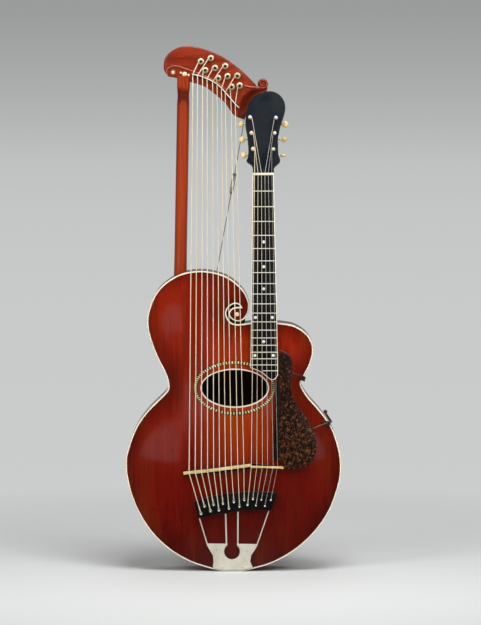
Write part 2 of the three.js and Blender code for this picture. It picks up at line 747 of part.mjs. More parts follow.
const pinHead = (position) => rodAlongDepth(position, pinRadius, pinBlockFront - 3.4, pinBlockFront + 1, 6);
addPiece('pin_block', unite([
  prism(vectors(pinBlockOutline), pinBlockFront, pinBlockBack),
  ...pinPositions.map(pinHead),
]), blackWood());

const plateSlope = 0.093;
const plateBack = -49.3;
const plateFront = plateBack - 1.5;
const leanPlate = (body) => body.warp((vertex) => {
  vertex[1] -= plateSlope * Math.max(vertex[2] - 2, 0);
});
const tailWires = [
  [[-56, 60], [-73.6, 119.5], 1.5], [[-14.7, 60], [-16.4, 129.6], 2],
  [[10.1, 60], [10.5, 133.8], 2], [[51.4, 59], [77.6, 135.8], 1.5],
];
const tailWire = ([[x0, z0], [x1, z1], radius]) => tube([
  new THREE.Vector3(x0, plateFront - plateSlope * (z0 - 2) + 0.6, z0),
  new THREE.Vector3(x1, -70, z1),
], radius, 6);
const tailLip = lipRing(lipThickness, 44.6, plateFront, -38)
  .subtract(prism(vectors([[-60, -1.2], [60, -1.2], [60, 0], [-60, 0]]), -60, 0))
  .intersect(prism(bodyOutline, -60, 0));
const tailpiece = unite([
  leanPlate(prism(vectors(tailpieceOutline), plateFront, plateBack)
    .subtract(rodAlongDepth(keyhole.slice(0, 2), keyhole[2], -60, 0, 20))
    .subtract(box([-12.7, 8.1], [-60, 0], [45, 70]))),
  prism(bodyOutline, plateFront, plateBack).intersect(box([-44.7, 43.1], [-60, 0], [-1, 9])),
  tailLip,
  ...tailWires.map(tailWire),
]);
addPiece('tailpiece', tailpiece, nickel());

// Pickguard, with its upper bracket and its edge clamp

const guardFront = -70.5;
const guardBack = -68;
const upperBracket = tube([
  new THREE.Vector3(126, -67.2, 431), new THREE.Vector3(150, -60, 425),
  new THREE.Vector3(155.8, -50, 423), new THREE.Vector3(155.8, -42, 423),
], 1.6, 6);
const clampRod = tube([
  new THREE.Vector3(170, -67.2, 314), new THREE.Vector3(196, -60, 321),
  new THREE.Vector3(213.5, -51.5, 328.5), new THREE.Vector3(213.5, -42, 328.5),
], 1.6, 6);
const clampKnob = tube([
  new THREE.Vector3(215.2, -42, 326.5), new THREE.Vector3(200.4, -42, 349),
], 3, 8);
addPiece('pickguard', unite([
  prism(vectors(pickguardOutline), guardFront, guardBack),
  upperBracket,
  clampRod,
  clampKnob,
]), shell());

// Stay wire, with its barrel

const stayTop = new THREE.Vector3(24.2, 4, 986.9);
const stayFoot = new THREE.Vector3(-35.5, 0, 656.2);
const stayAt = (share) => new THREE.Vector3().lerpVectors(stayTop, stayFoot, share);
addPiece('stay_wire', tube([stayTop, stayFoot], 0.9, 6)
  .add(tube([stayAt(0.35), stayAt(0.46)], 2.4, 8)), nickel());

// Strings

// The point where a line from a place meets a post on one side: -1 is its left, 1 its right.
function tangentAngle([fromX, fromZ], [centreX, centreZ], radius, side) {
  const dx = fromX - centreX;
  const dz = fromZ - centreZ;
  const spread = Math.acos(radius / Math.hypot(dx, dz));
  return Math.atan2(dz, dx) + side * spread;
}

const turnSteps = 7;
const turnShare = 0.9;

// Most of a turn about a post, as [x, z, share] triples.
function turnPoints(from, centre, radius, side) {
  const start = tangentAngle(from, centre, radius, side);
  return Array.from({ length: turnSteps + 1 }, (_, step) => {
    const share = step / turnSteps;
    const angle = start + side * share * turnShare * 2 * Math.PI;
    return [centre[0] + radius * Math.cos(angle), centre[1] + radius * Math.sin(angle), share];
  });
}

function saddlePoint(index, radius) {
  const x = saddleCrossings[index];
  const z = THREE.MathUtils.mapLinear(x, -108, 39.6, 219, 235.5);
  return new THREE.Vector3(x, saddleTop - fitGap - radius, x > 39.6 ? 234.5 : z);
}

function pinStart(index, radius) {
  const [x, z] = pinPositions[index];
  const saddle = saddlePoint(index, radius);
  const away = new THREE.Vector2(saddle.x - x, saddle.z - z).setLength(pinRadius + radius + 0.6);
  return new THREE.Vector3(x + away.x, pinBlockFront - fitGap - radius, z + away.y);
}

function subBassString(index) {
  const radius = subBassRadii[index];
  const [nutX, nutZ] = subBassNutCrossings[index];
  const windings = turnPoints([nutX, nutZ], pegPositions[index], pegRadius + radius + fitGap, -1);
  return tube([
    pinStart(index, radius),
    saddlePoint(index, radius),
    new THREE.Vector3(nutX, subBassNutTop - fitGap - radius, nutZ),
    ...windings.map(([x, z, share]) => new THREE.Vector3(x, harpFront - 5.6 + 2 * share, z)),
  ], radius, 5);
}

function neckString(index) {
  const radius = neckStringRadii[index];
  const stringIndex = index + pegPositions.length;
  const nutY = nutFront - fitGap - radius;
  const nutPoint = new THREE.Vector3(neckNutCrossings[index], nutY, 873.3);
  const side = index < 3 ? 1 : -1;
  const [postX, postZ] = postPositions[index];
  const centre = [postX, upHeadstock(postZ, postTip)];
  const from = [nutPoint.x, upHeadstock(nutPoint.z, 0)];
  const windings = turnPoints(from, centre, postRadius + radius + fitGap, side);
  return tube([
    pinStart(stringIndex, radius),
    saddlePoint(stringIndex, radius),
    nutPoint,
    ...windings.map(([x, u, share]) =>
      new THREE.Vector3(x, u, windingHeights[index] - 2 * share).applyMatrix4(headFrame)),
  ], radius, 5);
}

pegPositions.forEach((_, index) => {
  addPiece(`sub_bass_string_${index + 1}`, subBassString(index), woundMetal());
});
postPositions.forEach((_, index) => {
  addPiece(`neck_string_${index + 1}`, neckString(index), woundMetal());
});

export default instrument;
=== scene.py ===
"""A ten sub-bass harp guitar: wood, trim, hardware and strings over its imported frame."""

import math

import bmesh
import bpy
import numpy as np
from mathutils import Matrix, Vector
from mathutils.bvhtree import BVHTree


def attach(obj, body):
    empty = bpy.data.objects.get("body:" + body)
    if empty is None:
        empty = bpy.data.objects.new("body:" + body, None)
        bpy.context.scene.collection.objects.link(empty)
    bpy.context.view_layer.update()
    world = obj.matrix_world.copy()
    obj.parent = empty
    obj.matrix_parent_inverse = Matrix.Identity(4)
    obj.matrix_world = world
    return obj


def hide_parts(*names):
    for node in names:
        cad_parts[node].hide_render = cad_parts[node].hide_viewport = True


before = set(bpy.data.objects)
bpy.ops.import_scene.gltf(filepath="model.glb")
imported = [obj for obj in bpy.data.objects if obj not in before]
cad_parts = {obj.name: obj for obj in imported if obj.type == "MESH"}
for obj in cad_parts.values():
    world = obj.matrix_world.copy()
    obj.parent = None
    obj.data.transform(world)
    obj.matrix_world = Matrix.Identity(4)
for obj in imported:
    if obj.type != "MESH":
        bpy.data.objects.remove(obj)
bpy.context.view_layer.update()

bl_info = {
    "name": "Harp Guitar",
    "version": (1, 0, 0),
    "blender": (4, 5, 0),
    "location": "View3D > Sidebar > Harp Guitar",
    "description": "Dresses the frame of a ten sub-bass harp guitar",
    "category": "Object",
}

# Sizes in millimetres, in the frame's own axes: +Z up the neck, the soundboard faces -Y

STRING_SCALE = 641
NUT_LINE = 870
NUT_CREST = 873.3
FIT_GAP = 0.3
EDGE_DEPTH = 48
PLATE = 5
RIM = 3
ARCH_HEIGHT = 15
ARCH_REACH = 150
ARCH_EASING = 500
ARCH_FOOT = 6
CARVED_XS = (-236, 237)
CARVED_ZS = (2, 659)
BODY_REACH = (-235.1, 236.3)
BINDING = 2.8
SOUNDHOLE = (3.5, 404)
SOUNDHOLE_RADII = (72.5, 40.2)
SOUNDHOLE_RING = 2.6
SOUNDHOLE_CORNERS = 96
ROSETTE = (3.1, 404.5)
ROSETTE_RADII = (86.1, 55.4)
ROSETTE_BLOCKS = 164
SCROLL_EYE = (8.5, 564.8)
SCROLL_CURL_RIGHT = 26
BOARD_TOP = 868.3
BODY_JOINT = 546
BOARD_LEFT = (42.3, 39)
BOARD_RIGHT = (88.3, 95.9)
BOARD_FRONT = -57
BOARD_BACK = -51
BOARD_SLOPE = 0.0291
BOARD_END_MIDDLE = 67
BOARD_END_HALF = 30
FRETS = 19
LAST_FRET_LEFT = 64
NECK_CORNERS = 24
NUT_FRONT = -58.2
HEAD_TILT = math.radians(11)
HEAD_FOOT = 874
HEAD_FACE = -53
VENEER = 1.3
HEAD_BACK = 15.6
POST_TIP = 9.5
GEAR_TEETH = 14
GEAR_RADII = (7.7, 6.4)
GEAR_FRONT = 17.7
GEAR_BACK = 20.9
WORM_DEPTH = 20.1
WORM_DROP = 10.5
HARP_FRONT = -27
HARP_CARVING = 18.5
HARP_CELL = 2.5
HARP_CARVED_XS = (-20, 76)
HARP_CARVED_ZS = (988, 1075)
HARP_ROLL_REACH = 21
HARP_ROLL_SPAN = 19
HARP_ROLL_TOP = 1048
PILLAR_FOOT = (-115.9, -14, 644)
PILLAR_HEAD = (-107.9, -14, 1084)
PILLAR_CAPITAL = (1020, 1062)
SADDLE_TOP = -81
SADDLE_SEAT = -72
SADDLE_SLANT = ((-108, 219), (39.6, 235.5))
SADDLE_LEVEL = 234.5
BRIDGE_BACK = -59.5
PIN_BLOCK_FRONT = -75.3
PIN_BLOCK_BACK = -65.3
SUB_BASS_NUT_TOP = -33
PIN_RADIUS = 1.9
PEG_RADIUS = 2.6
PEG_TURNS = 1.9
PADDLE_REACH = 6.6
POST_RADIUS = 2.9
POST_TURNS = 2.9
COIL_STEPS = 18
TAIL_FRONT = -50.8
TAIL_BACK = -49.3
TAIL_LEAN = 0.093
TAIL_BEND = 2
TAIL_WIRE_END = -70
GUARD_FRONT = -70.5
GUARD_BACK = -68

BASS_SIDE = [
    (-22, 0), (-52.3, 6.8), (-97.7, 22.6), (-143.2, 50.6), (-181.6, 88.9), (-209.6, 134.2),
    (-226.9, 179.8), (-235.8, 232), (-230.6, 268.7), (-211.1, 319.7), (-183.7, 356.8),
    (-148.5, 392), (-141.7, 407.6), (-148.5, 434.9), (-164.3, 466.3), (-177.8, 499.5),
    (-187, 535), (-185.9, 567.9), (-169.7, 608.8), (-144.8, 635.3), (-111, 653.5),
    (-70.5, 659.4), (-31.8, 653.5), (-2.4, 639.7), (23.9, 614.7), (35, 588), (37, 566),
    (37.9, 546.2),
]
SLOT_INNER = [
    (35, 588), (34.2, 573.6), (29.8, 562), (22.6, 553.2), (12.3, 549.3), (2, 551), (-6.8, 557.6),
    (-9.9, 566.3), (-5.5, 575.1), (2, 579.5), (10.5, 580.6), (16.5, 580.5),
]
SLOT_OUTER = [
    (16.5, 580.5), (12.3, 585.4), (4.8, 587.6), (-3.9, 584.7), (-11.2, 577.9), (-14.9, 567.9),
    (-12.7, 557.6), (-6.8, 548.6), (0.4, 544.2), (12.3, 542.9), (35.7, 545.7),
]
TREBLE_SIDE = [
    (37.9, 546.2), (66, 546.2), (96.6, 545.9), (133.8, 539.4), (163.2, 518.8), (174.8, 489.5),
    (168.2, 455.5), (150.5, 420.3), (149.1, 408.4), (163.2, 384.3), (192.3, 350.6),
    (217.5, 313), (233.7, 260.2), (236, 218), (228.6, 179.8), (209.6, 130.7), (178, 85.4),
    (136.2, 47.1), (87.4, 19.1), (41.8, 5), (18, 0),
]
FINGERBOARD_END = [
    (97.7, 435.2), (92.4, 426.4), (85.2, 423.5), (76.4, 427.9), (63, 439.5), (45.6, 447),
    (37.4, 449.9),
]
# Each fret dot's place across and the number of the fret below it
FRET_DOTS = [(66.6, 5), (66.6, 7), (66.6, 9), (48.6, 12), (85.2, 12), (66.6, 15), (47.3, 17), (87.4, 17)]
HEADSTOCK = [
    (42.7, 874.3), (42.7, 884.3), (39.4, 890.7), (29.3, 898.8), (32, 908.2), (33.3, 927.2),
    (30.7, 952.2), (26.9, 973.7), (26.9, 990.1), (29.3, 1008.9), (33.6, 1023.5),
    (41.1, 1034.6), (50.9, 1042.4), (62.6, 1047.6), (74.3, 1050.4), (86.1, 1050.2),
    (97.8, 1045.1), (106.4, 1036.9), (111.9, 1026.7), (113.7, 1015.6), (112.3, 1004),
    (108, 989.5), (103.4, 976), (99.9, 960),
    (97.9, 939.7), (98.6, 914.5), (102.3, 898.8), (89.8, 885.6), (89.1, 874.3),
]
HARP_HEAD_TOP = [
    (-140.8, 1081.9), (-150, 1095), (-151.3, 1109.2), (-147.2, 1124.6), (-134, 1137.7),
    (-116.5, 1146.5), (-99.4, 1148.9), (-80.2, 1146.7), (-59.8, 1141.7), (-39.6, 1133.5),
    (-19.3, 1123.5), (0.9, 1109.2), (21.2, 1093), (39.4, 1074.9), (48.4, 1065.7), (52, 1061),
    (60, 1058), (74, 1060),
]
HARP_HEAD_RIGHT = [(74, 1060), (74, 1052), (60, 1030), (45, 1017), (36, 1010), (28, 997), (25.2, 987.7)]
HARP_HEAD_UNDER = [
    (25.2, 987.7), (0.9, 998.9), (-17.3, 1024.3), (-37.7, 1042.4), (-57.8, 1057.8),
    (-74, 1064.8), (-91.3, 1069.8), (-122.6, 1079), (-140.8, 1081.9),
]
HARP_FRONT_LINE = [
    (-170, -27), (8, -27), (24, -26.5), (38, -23), (50, -17), (62, -10.5), (74, -8.5), (90, -8),
]
HARP_BACK_LINE = [(-170, -3), (-36, -3), (-14, -0.5), (8, 5), (26, 10.8), (40, 12), (90, 12)]
HARP_SCROLL = (64.6, 1066.7, 11.2)
PEG_BACK_LINE = [(-170, -3), (-30, -3), (0, 4), (30, 12), (90, 12)]
HARP_MOULDING = [
    (-143.5, 1086.5), (-145.3, 1093), (-142.5, 1099.5), (-136, 1104), (-128, 1105.6), (-118, 1104),
    (-107, 1100.3), (-93, 1095.6), (-79, 1090.6), (-66, 1085.6), (-50, 1078.6), (-33, 1069),
    (-18, 1055), (-4, 1038.6), (7, 1026),
]
SUB_BASS_NUT = [
    (-90.2, 1088), (-70.1, 1083), (-49.7, 1074.8), (-33.5, 1064.7), (-19.3, 1050.5),
    (-5.3, 1034.3), (5, 1022.2), (12.9, 1014.6),
]
HARP_RIDGE = [(24, 1062.5), (32, 1061), (41, 1059.6), (50, 1058.4), (56, 1057.9)]
HARP_PEARLS = [(-131, 1091.8, 3.8), (-114.1, 1090.7, 2.4), (-105.8, 1087.9, 5), (-97.5, 1085.7, 2.4)]
SADDLE = [
    (-108, 216.3), (-60, 221), (-10, 227.4), (37.5, 233.6), (39.6, 231.2), (75, 230.6), (104, 229.4),
    (107.5, 228.2), (109.6, 229.4), (109.9, 231.6), (108.4, 233.6), (105, 234), (75, 234.6),
    (39.6, 235.4), (38, 240), (-10, 233.8), (-60, 227.4), (-104, 222.9), (-109, 222.3),
]
BRIDGE_BASE = [
    (-106, 209), (-60, 213), (-10, 219), (39.6, 225.5), (75, 224.5), (105, 223),
    (109, 228), (108, 234.5), (75, 237), (39, 241), (-10, 235.5), (-60, 229), (-106, 224.5),
    (-110.5, 217),
]
PIN_BLOCK = [
    (-85.4, 157), (-68.8, 161.8), (-39.4, 169.7), (-10.1, 174.5), (19.3, 178), (48.6, 178.5),
    (78, 177.6), (97.5, 175.6), (83.7, 137.3), (58.3, 138.4), (19.3, 137.3), (-10.1, 132.5),
    (-39.4, 127.7), (-68.8, 121.8), (-76.7, 121.8),
]
TAILPIECE_LEFT = [(-44.7, 0.6), (-44.7, 8.8), (-43.2, 22), (-44.5, 36), (-57.8, 58.7), (-58, 62.5)]
TAILPIECE_RIGHT = [(53.4, 61.2), (52.6, 56.3), (39.5, 36), (37.2, 22), (43.1, 8.8), (43.1, 0.6)]
KEYHOLE = (-2.6, 44.5, 17.3)
# Where the keyhole's neck leaves its circle, from its centre, and where it ends
KEYHOLE_NECK = ((-10.1, 14.05), (10.7, 13.6))
KEYHOLE_MOUTH = ((-12.7, 62.2), (8.1, 61.8))
TAIL_SCREWS = [(-36.4, 48.6), (30, 46.2), (-24, 9), (22, 9)]
TAIL_WIRES = [
    ((-56, 60), (-73.6, 119.5), 1.5), ((-14.7, 60), (-16.4, 129.6), 2),
    ((10.1, 60), (10.5, 133.8), 2), ((51.4, 59), (77.6, 135.8), 1.5),
]
GUARD_CURVE = [
    (98.6, 487.3), (108.8, 485.5), (124.4, 473.7), (129.2, 458.1), (128.3, 438.4),
    (126.4, 418.9), (128.3, 393.5), (138.2, 370.1), (153.7, 348.6), (167.3, 328.9),
    (177.2, 307.5), (182, 286), (181.1, 266.5), (173.2, 245.1), (157.7, 233.2),
    (138.2, 227.3), (118.5, 227.3), (112, 229.5), (110.5, 246),
]
GUARD_ARMS = [
    [(126, -67.2, 437), (146, -61, 431), (155.8, -50, 426), (155.8, -42, 426)],
    [(168, -67.2, 313), (194, -60, 323), (212.5, -51.5, 329.5), (213.5, -42, 329.5)],
]
GUARD_SCREWS = [(122, 439), (163, 311)]
PINS = [
    (-70.1, 130.1), (-62.6, 146.3), (-49.5, 136), (-42.9, 149.8), (-31.1, 137.8),
    (-22.3, 152.2), (-9.4, 141.7), (1.5, 155.9), (13.8, 146.3), (24.1, 160.5), (31.5, 150),
    (42.9, 162.7), (49.7, 148.9), (61.5, 161.4), (69, 147.8), (82.3, 161),
]
SADDLE_CROSSINGS = [
    -96.1, -82.8, -69.4, -55.8, -42.5, -29.8, -16.9, -3.7, 10.3, 23.4,
    39.6, 51.5, 63.7, 75.3, 87.2, 96.8,
]
SUB_BASS_NUT_CROSSINGS = [
    (-87.8, 1087.4), (-77.5, 1084.8), (-66.6, 1081.6), (-56.7, 1077.6), (-44.7, 1071.7),
    (-35, 1065.6), (-25.6, 1056.8), (-17.4, 1048.2), (-4.8, 1033.7), (4.4, 1022.9),
]
PEGS = [
    (-70.1, 1115.4), (-48.8, 1122.4), (-60.9, 1096.1), (-39.6, 1101.1), (-17.3, 1105.3),
    (-32.6, 1079), (-12.3, 1083), (9, 1084.1), (-3.4, 1060.2), (14, 1062.8),
]
NECK_NUT_CROSSINGS = [46.6, 54.1, 61.6, 69, 76.5, 84]
POSTS = [(43.4, 926.9), (40.1, 960.8), (37, 994.8), (93.5, 994.1), (90.4, 960.8), (87.6, 926.3)]
BUTTONS = [23, 19.9, 16.2, 113.7, 111.3, 109.3]
BUTTON_TURNS = [0, 0, 10, 0, 55, 90]
SUB_BASS_RADII = [1.05, 1.02, 0.99, 0.96, 0.93, 0.9, 0.87, 0.84, 0.81, 0.78]
NECK_RADII = [0.68, 0.56, 0.46, 0.36, 0.26, 0.22]
WINDING_HEIGHTS = [3, 5.5, 6.2, 6.2, 5.5, 3]
NECK_SECTIONS = [
    (546.6, 91), (555, 84), (566, 62), (580, 36), (598, 23), (640, 20), (760, 18.5), (874, 16.5),
]
PILLAR_SECTIONS = [
    (644, 14.1, 2.6), (652, 14.1, 2.6), (700, 13.7, 2.4), (860, 13.7, 2.4), (1000, 13.7, 2.4),
    (1024, 13.6, 2.6), (1034, 12.9, 3), (1042, 12.8, 3.4), (1050, 13.4, 4), (1058, 14.1, 5),
    (1084, 14.1, 5),
]
STAY_TOP = (24.2, 4, 986.9)
STAY_FOOT = (-35.5, 0, 656.2)

# The floor's greys by its share of the way out, and the wall's by height, both painted backdrop shade
FLOOR_SHADES = [
    (0, 232), (0.08, 228), (0.1213, 213), (0.1927, 207), (0.309, 204), (0.4145, 203),
    (0.5083, 203), (0.6304, 202), (0.7012, 201), (0.7947, 199), (0.8499, 197), (0.9002, 192),
    (0.9462, 181), (0.9782, 173), (0.9985, 169), (1, 168),
]
WALL_SHADES = [(0.0, 187), (0.423, 168), (0.683, 157), (1.0, 150)]
# Both in metres
FLOOR_RADIUS = 3000
CAMERA_RANGE = 4000
# Each lamp's name, place, aim and size in metres, its power setting and its share of that
LAMPS = [
    ("key", (-2.0, -2.2, 2.2), (0, 0, 0.6), (1.0, 1.6), "key_power", 1.0),
    ("side", (1.7, -2.2, 2.5), (0, 0, 0.5), (1.4, 1.4), "side_power", 1.0),
    ("top", (0.3, -1.0, 3.0), (0, 0, 0.2), (1.4, 1.2), "top_power", 1.0),
    ("back", (0, 1.1, 2.6), (0, 0, 0.1), (1.6, 1.0), "top_power", 0.12),
    ("left_strip", (-1.15, -3.6, 1.0), (0, 0, 0.6), (0.5, 2.2), "strip_power", 1.0),
    ("right_strip", (1.15, -3.6, 0.9), (0, 0, 0.6), (0.4, 2.0), "strip_power", 0.8),
    ("head_lamp", (0.1, -4.0, 2.7), (0, 0, 1.0), (1.6, 0.9), "strip_power", 0.7),
]
# How satin nickel differs from bright nickel
SATIN = {"rough": 0.3, "metallic": 0.3, "patches": 34}
# Heights in metres where painted shade on the pillar begins and clears again under the capital
CAPITAL_SHADE_HEIGHTS = (1.012, 1.03, 1.052, 1.064)

ROOT = "instrument"
SPAN_STEPS = 8
SHARP_ANGLE = math.radians(35)


# Lines


def mm(x, y, z):
    return Vector((x, y, z)) * 0.001


def smooth_line(points, steps=SPAN_STEPS):
    """A smooth curve through the points, with its own points at equal shares of each span."""
    last = len(points) - 1
    line = []
    for span in range(last):
        around = [points[max(span - 1, 0)], points[span], points[span + 1], points[min(span + 2, last)]]
        for step in range(steps):
            t = step / steps
            line.append(tuple(
                0.5 * (2 * b + (c - a) * t + (2 * a - 5 * b + 4 * c - d) * t**2
                       + (3 * b - a - 3 * c + d) * t**3)
                for a, b, c, d in zip(*around)
            ))
    line.append(tuple(points[last]))
    return line


def evenly(points, spacing):
    """The same line, with its points about one spacing apart."""
    gone = [0.0]
    for start, end in zip(points, points[1:]):
        gone.append(gone[-1] + math.dist(start, end))
    count = max(1, round(gone[-1] / spacing))
    places = np.linspace(0, gone[-1], count + 1)
    return [tuple(place) for place in zip(*(np.interp(places, gone, axis) for axis in zip(*points)))]


def traced(points, spacing=3):
    """A smooth curve through the points, with its own points about one spacing apart."""
    return evenly(smooth_line(points), spacing)


def offset_line(points, distance):
    """A closed outline moved along its corners' mean normals, outward when positive."""
    area = sum(a[0] * b[1] - b[0] * a[1] for a, b in zip(points, points[1:] + points[:1]))
    outward = 1 if area > 0 else -1
    moved = []
    for index, point in enumerate(points):
        before = points[index - 1]
        after = points[(index + 1) % len(points)]
        first = Vector((point[0] - before[0], point[1] - before[1])).normalized()
        second = Vector((after[0] - point[0], after[1] - point[1])).normalized()
        normal = Vector((first.y + second.y, -first.x - second.x)).normalized()
        mitre = max(0.6, math.sqrt(max(0.0, (1 + first.dot(second)) / 2)))
        step = outward * distance / mitre
        moved.append((point[0] + normal.x * step, point[1] + normal.y * step))
    return moved


def strip_outline(points, shift, half):
    """The outline of a strip beside a line, shift to its left when positive."""
    left, right = [], []
    for index, (x, z) in enumerate(points):
        before = points[max(index - 1, 0)]
        after = points[min(index + 1, len(points) - 1)]
        along = Vector((after[0] - before[0], after[1] - before[1])).normalized()
        left.append((x - along.y * (shift + half), z + along.x * (shift + half)))
        right.append((x - along.y * (shift - half), z + along.x * (shift - half)))
    return left + right[::-1]


def oval(centre, radii, count):
    angles = [2 * math.pi * step / count for step in range(count)]
    return [(centre[0] + radii[0] * math.cos(a), centre[1] + radii[1] * math.sin(a)) for a in angles]


def grown_oval(centre, radii, grow, count):
    return oval(centre, [radius + grow for radius in radii], count)


def line_height(line, x):
    return float(np.interp(x, [place[0] for place in line], [place[1] for place in line]))


def body_line():
    """The body's outline with the scroll's slot, as one closed line."""
    to_slot = SPAN_STEPS * BASS_SIDE.index(SLOT_INNER[0]) + 1
    bass = evenly(smooth_line(BASS_SIDE)[:to_slot], 3)
    treble = evenly([SLOT_OUTER[-1]] + smooth_line(TREBLE_SIDE), 3)
    tail = evenly([TREBLE_SIDE[-1], BASS_SIDE[0]], 3)
    line = bass + traced(SLOT_INNER, 1.6)[1:] + traced(SLOT_OUTER, 1.6)[1:] + treble[1:] + tail[1:-1]
    left, right = BODY_REACH
    return [(min(max(x, left), right), z) for x, z in line]


BODY_LINE = body_line()


def from_edge(xs, zs):
    """How far places on the body lie from its outline, in millimetres."""
    places = np.stack([xs, zs], axis=1)
    least = np.full(len(places), np.inf)
    for start, end in zip(BODY_LINE, BODY_LINE[1:] + BODY_LINE[:1]):
        side = np.subtract(end, start)
        gone = places - start
        along = np.clip(gone @ side / (side @ side), 0, 1)
        least = np.minimum(least, np.hypot(*(gone - along[:, None] * side).T))
    return least


def arch(distance):
    rise = np.minimum(distance / ARCH_REACH, 1)
    return ARCH_HEIGHT * rise**2 * (3 - 2 * rise)


def fret_line(fret):
    return NUT_LINE - STRING_SCALE * (1 - 2 ** (-fret / 12))


def board_edge(z, side):
    nut_x, joint_x = BOARD_LEFT if side < 0 else BOARD_RIGHT
    return nut_x + (joint_x - nut_x) * (BOARD_TOP - z) / (BOARD_TOP - BODY_JOINT)


# Shapes, each a bmesh in metres


def loft(sections, joined=False):
    """A ring of vertices extruded from section to section, then closed at its ends or on itself."""
    shape = bmesh.new()
    count = len(sections[0])
    ring = bmesh.ops.create_circle(shape, cap_ends=False, segments=count, radius=1)["verts"]
    for vert, place in zip(ring, sections[0]):
        vert.co = place
    for section in sections[1:] + (sections[:1] if joined else []):
        edges = [shape.edges.get((ring[i], ring[(i + 1) % count])) for i in range(count)]
        grown = bmesh.ops.extrude_edge_only(shape, edges=edges)["geom"]
        fresh = {vert.co.copy().freeze(): vert for vert in grown if isinstance(vert, bmesh.types.BMVert)}
        ring = [fresh[vert.co.copy().freeze()] for vert in ring]
        for vert, place in zip(ring, section):
            vert.co = place
    if joined:
        bmesh.ops.remove_doubles(shape, verts=shape.verts[:], dist=1e-7)
    else:
        bmesh.ops.holes_fill(shape, edges=[edge for edge in shape.edges if edge.is_boundary], sides=0)
    bmesh.ops.recalc_face_normals(shape, faces=shape.faces[:])
    return shape


def band(lines):
    """A ring of closed lines of (outline, depth) seen from the front, joined one to the next."""
    return loft([[mm(x, depth, z) for x, z in line] for line, depth in lines], True)


def swept(points, radius, sides=8):
    """A rod along points; radius is one number, or one for each point."""
    places = [mm(*point) for point in points]
    radii = list(radius) if isinstance(radius, (list, tuple)) else [radius] * len(points)
    last = len(places) - 1
    tangents = [(places[min(i + 1, last)] - places[max(i - 1, 0)]).normalized() for i in range(last + 1)]
    turn = tangents[0].to_track_quat("Z", "Y").to_matrix()
    corners = [Vector((math.cos(a), math.sin(a), 0)) for a in np.linspace(0, 2 * math.pi, sides, False)]
    sections = []
    for index, place in enumerate(places):
        if index:
            turn = tangents[index - 1].rotation_difference(tangents[index]).to_matrix() @ turn
        sections.append([place + turn @ corner * radii[index] * 0.001 for corner in corners])
    return loft(sections)


def turned(profile, sides=24):
    """A shape turned about its own Y axis, from (radius, depth) pairs."""
    shape = bmesh.new()
    verts = [shape.verts.new(mm(radius, depth, 0)) for radius, depth in profile]
    edges = [shape.edges.new(pair) for pair in zip(verts, verts[1:])]
    bmesh.ops.spin(
        shape, geom=verts + edges, cent=(0, 0, 0), axis=(0, 1, 0), dvec=(0, 0, 0),
        angle=2 * math.pi, steps=sides, use_merge=True, use_duplicate=False,
    )
    bmesh.ops.remove_doubles(shape, verts=shape.verts[:], dist=1e-6)
    bmesh.ops.recalc_face_normals(shape, faces=shape.faces[:])
    return shape


def plate(line, front, back, rounding=0.0, segments=2):
    """A flat piece whose outline is seen from the front, with its edges rounded."""
    shape = bmesh.new()
    bmesh.ops.create_circle(shape, cap_ends=True, segments=len(line), radius=1)
    shape.verts.ensure_lookup_table()
    for vert, (x, z) in zip(shape.verts, line):
        vert.co = mm(x, front, z)
    grown = bmesh.ops.extrude_face_region(shape, geom=shape.faces[:], use_keep_orig=True)["geom"]
    moved = [vert for vert in grown if isinstance(vert, bmesh.types.BMVert)]
    bmesh.ops.translate(shape, vec=mm(0, back - front, 0), verts=moved)
    if rounding:
        rims = [edge for edge in shape.edges if abs(edge.verts[0].co.y - edge.verts[1].co.y) < 1e-6]
        bmesh.ops.bevel(
            shape, geom=rims, offset=rounding * 0.001, offset_type="OFFSET", segments=segments,
            profile=0.5, affect="EDGES", material=-1, clamp_overlap=False,
        )
    bmesh.ops.recalc_face_normals(shape, faces=shape.faces[:])
    return shape


def slot_shade_bar(length, width, front, back):
    """A dark bar painted as the shade in a screw's slot, from its half length and half width."""
    return plate([(-length, -width), (-length, width), (length, width), (length, -width)], front, back)


def grid_cut(shape, xs, zs):
    """Cuts a shape along lines of x and of z, so that it can be carved."""
    for axis, places in ((0, xs), (2, zs)):
        for place in places:
            spot = [0, 0, 0]
            spot[axis] = place * 0.001
            normal = [0, 0, 0]
            normal[axis] = 1
            everything = shape.verts[:] + shape.edges[:] + shape.faces[:]
            bmesh.ops.bisect_plane(shape, geom=everything, dist=1e-6, plane_co=spot, plane_no=normal)


def to_cells(shape):
    """Takes out every line of a cut sheet but its rim and the lines of its grid."""
    loose = []
    for edge in shape.edges:
        gone = edge.verts[0].co - edge.verts[1].co
        if not edge.is_boundary and abs(gone.x) > 1e-6 and abs(gone.z) > 1e-6:
            loose.append(edge)
    bmesh.ops.dissolve_edges(shape, edges=loose, use_verts=False)
    spare = [vert for vert in shape.verts if len(vert.link_edges) == 2 and not vert.is_boundary]
    bmesh.ops.dissolve_verts(shape, verts=spare)


def merged_copy(node, rounding):
    """A CAD node's solid with its corners merged and its sharp edges rounded."""
    shape = bmesh.new()
    shape.from_mesh(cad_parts[node].data)
    bmesh.ops.remove_doubles(shape, verts=shape.verts[:], dist=1e-6)
    bmesh.ops.dissolve_limit(
        shape, angle_limit=math.radians(1), use_dissolve_boundaries=False,
        verts=shape.verts[:], edges=shape.edges[:],
    )
    sharp = [edge for edge in shape.edges if edge.is_manifold and edge.calc_face_angle() > 0.6]
    bmesh.ops.bevel(
        shape, geom=sharp, offset=rounding * 0.001, offset_type="OFFSET", segments=2,
        profile=0.5, affect="EDGES", material=-1, clamp_overlap=True,
    )
    return shape


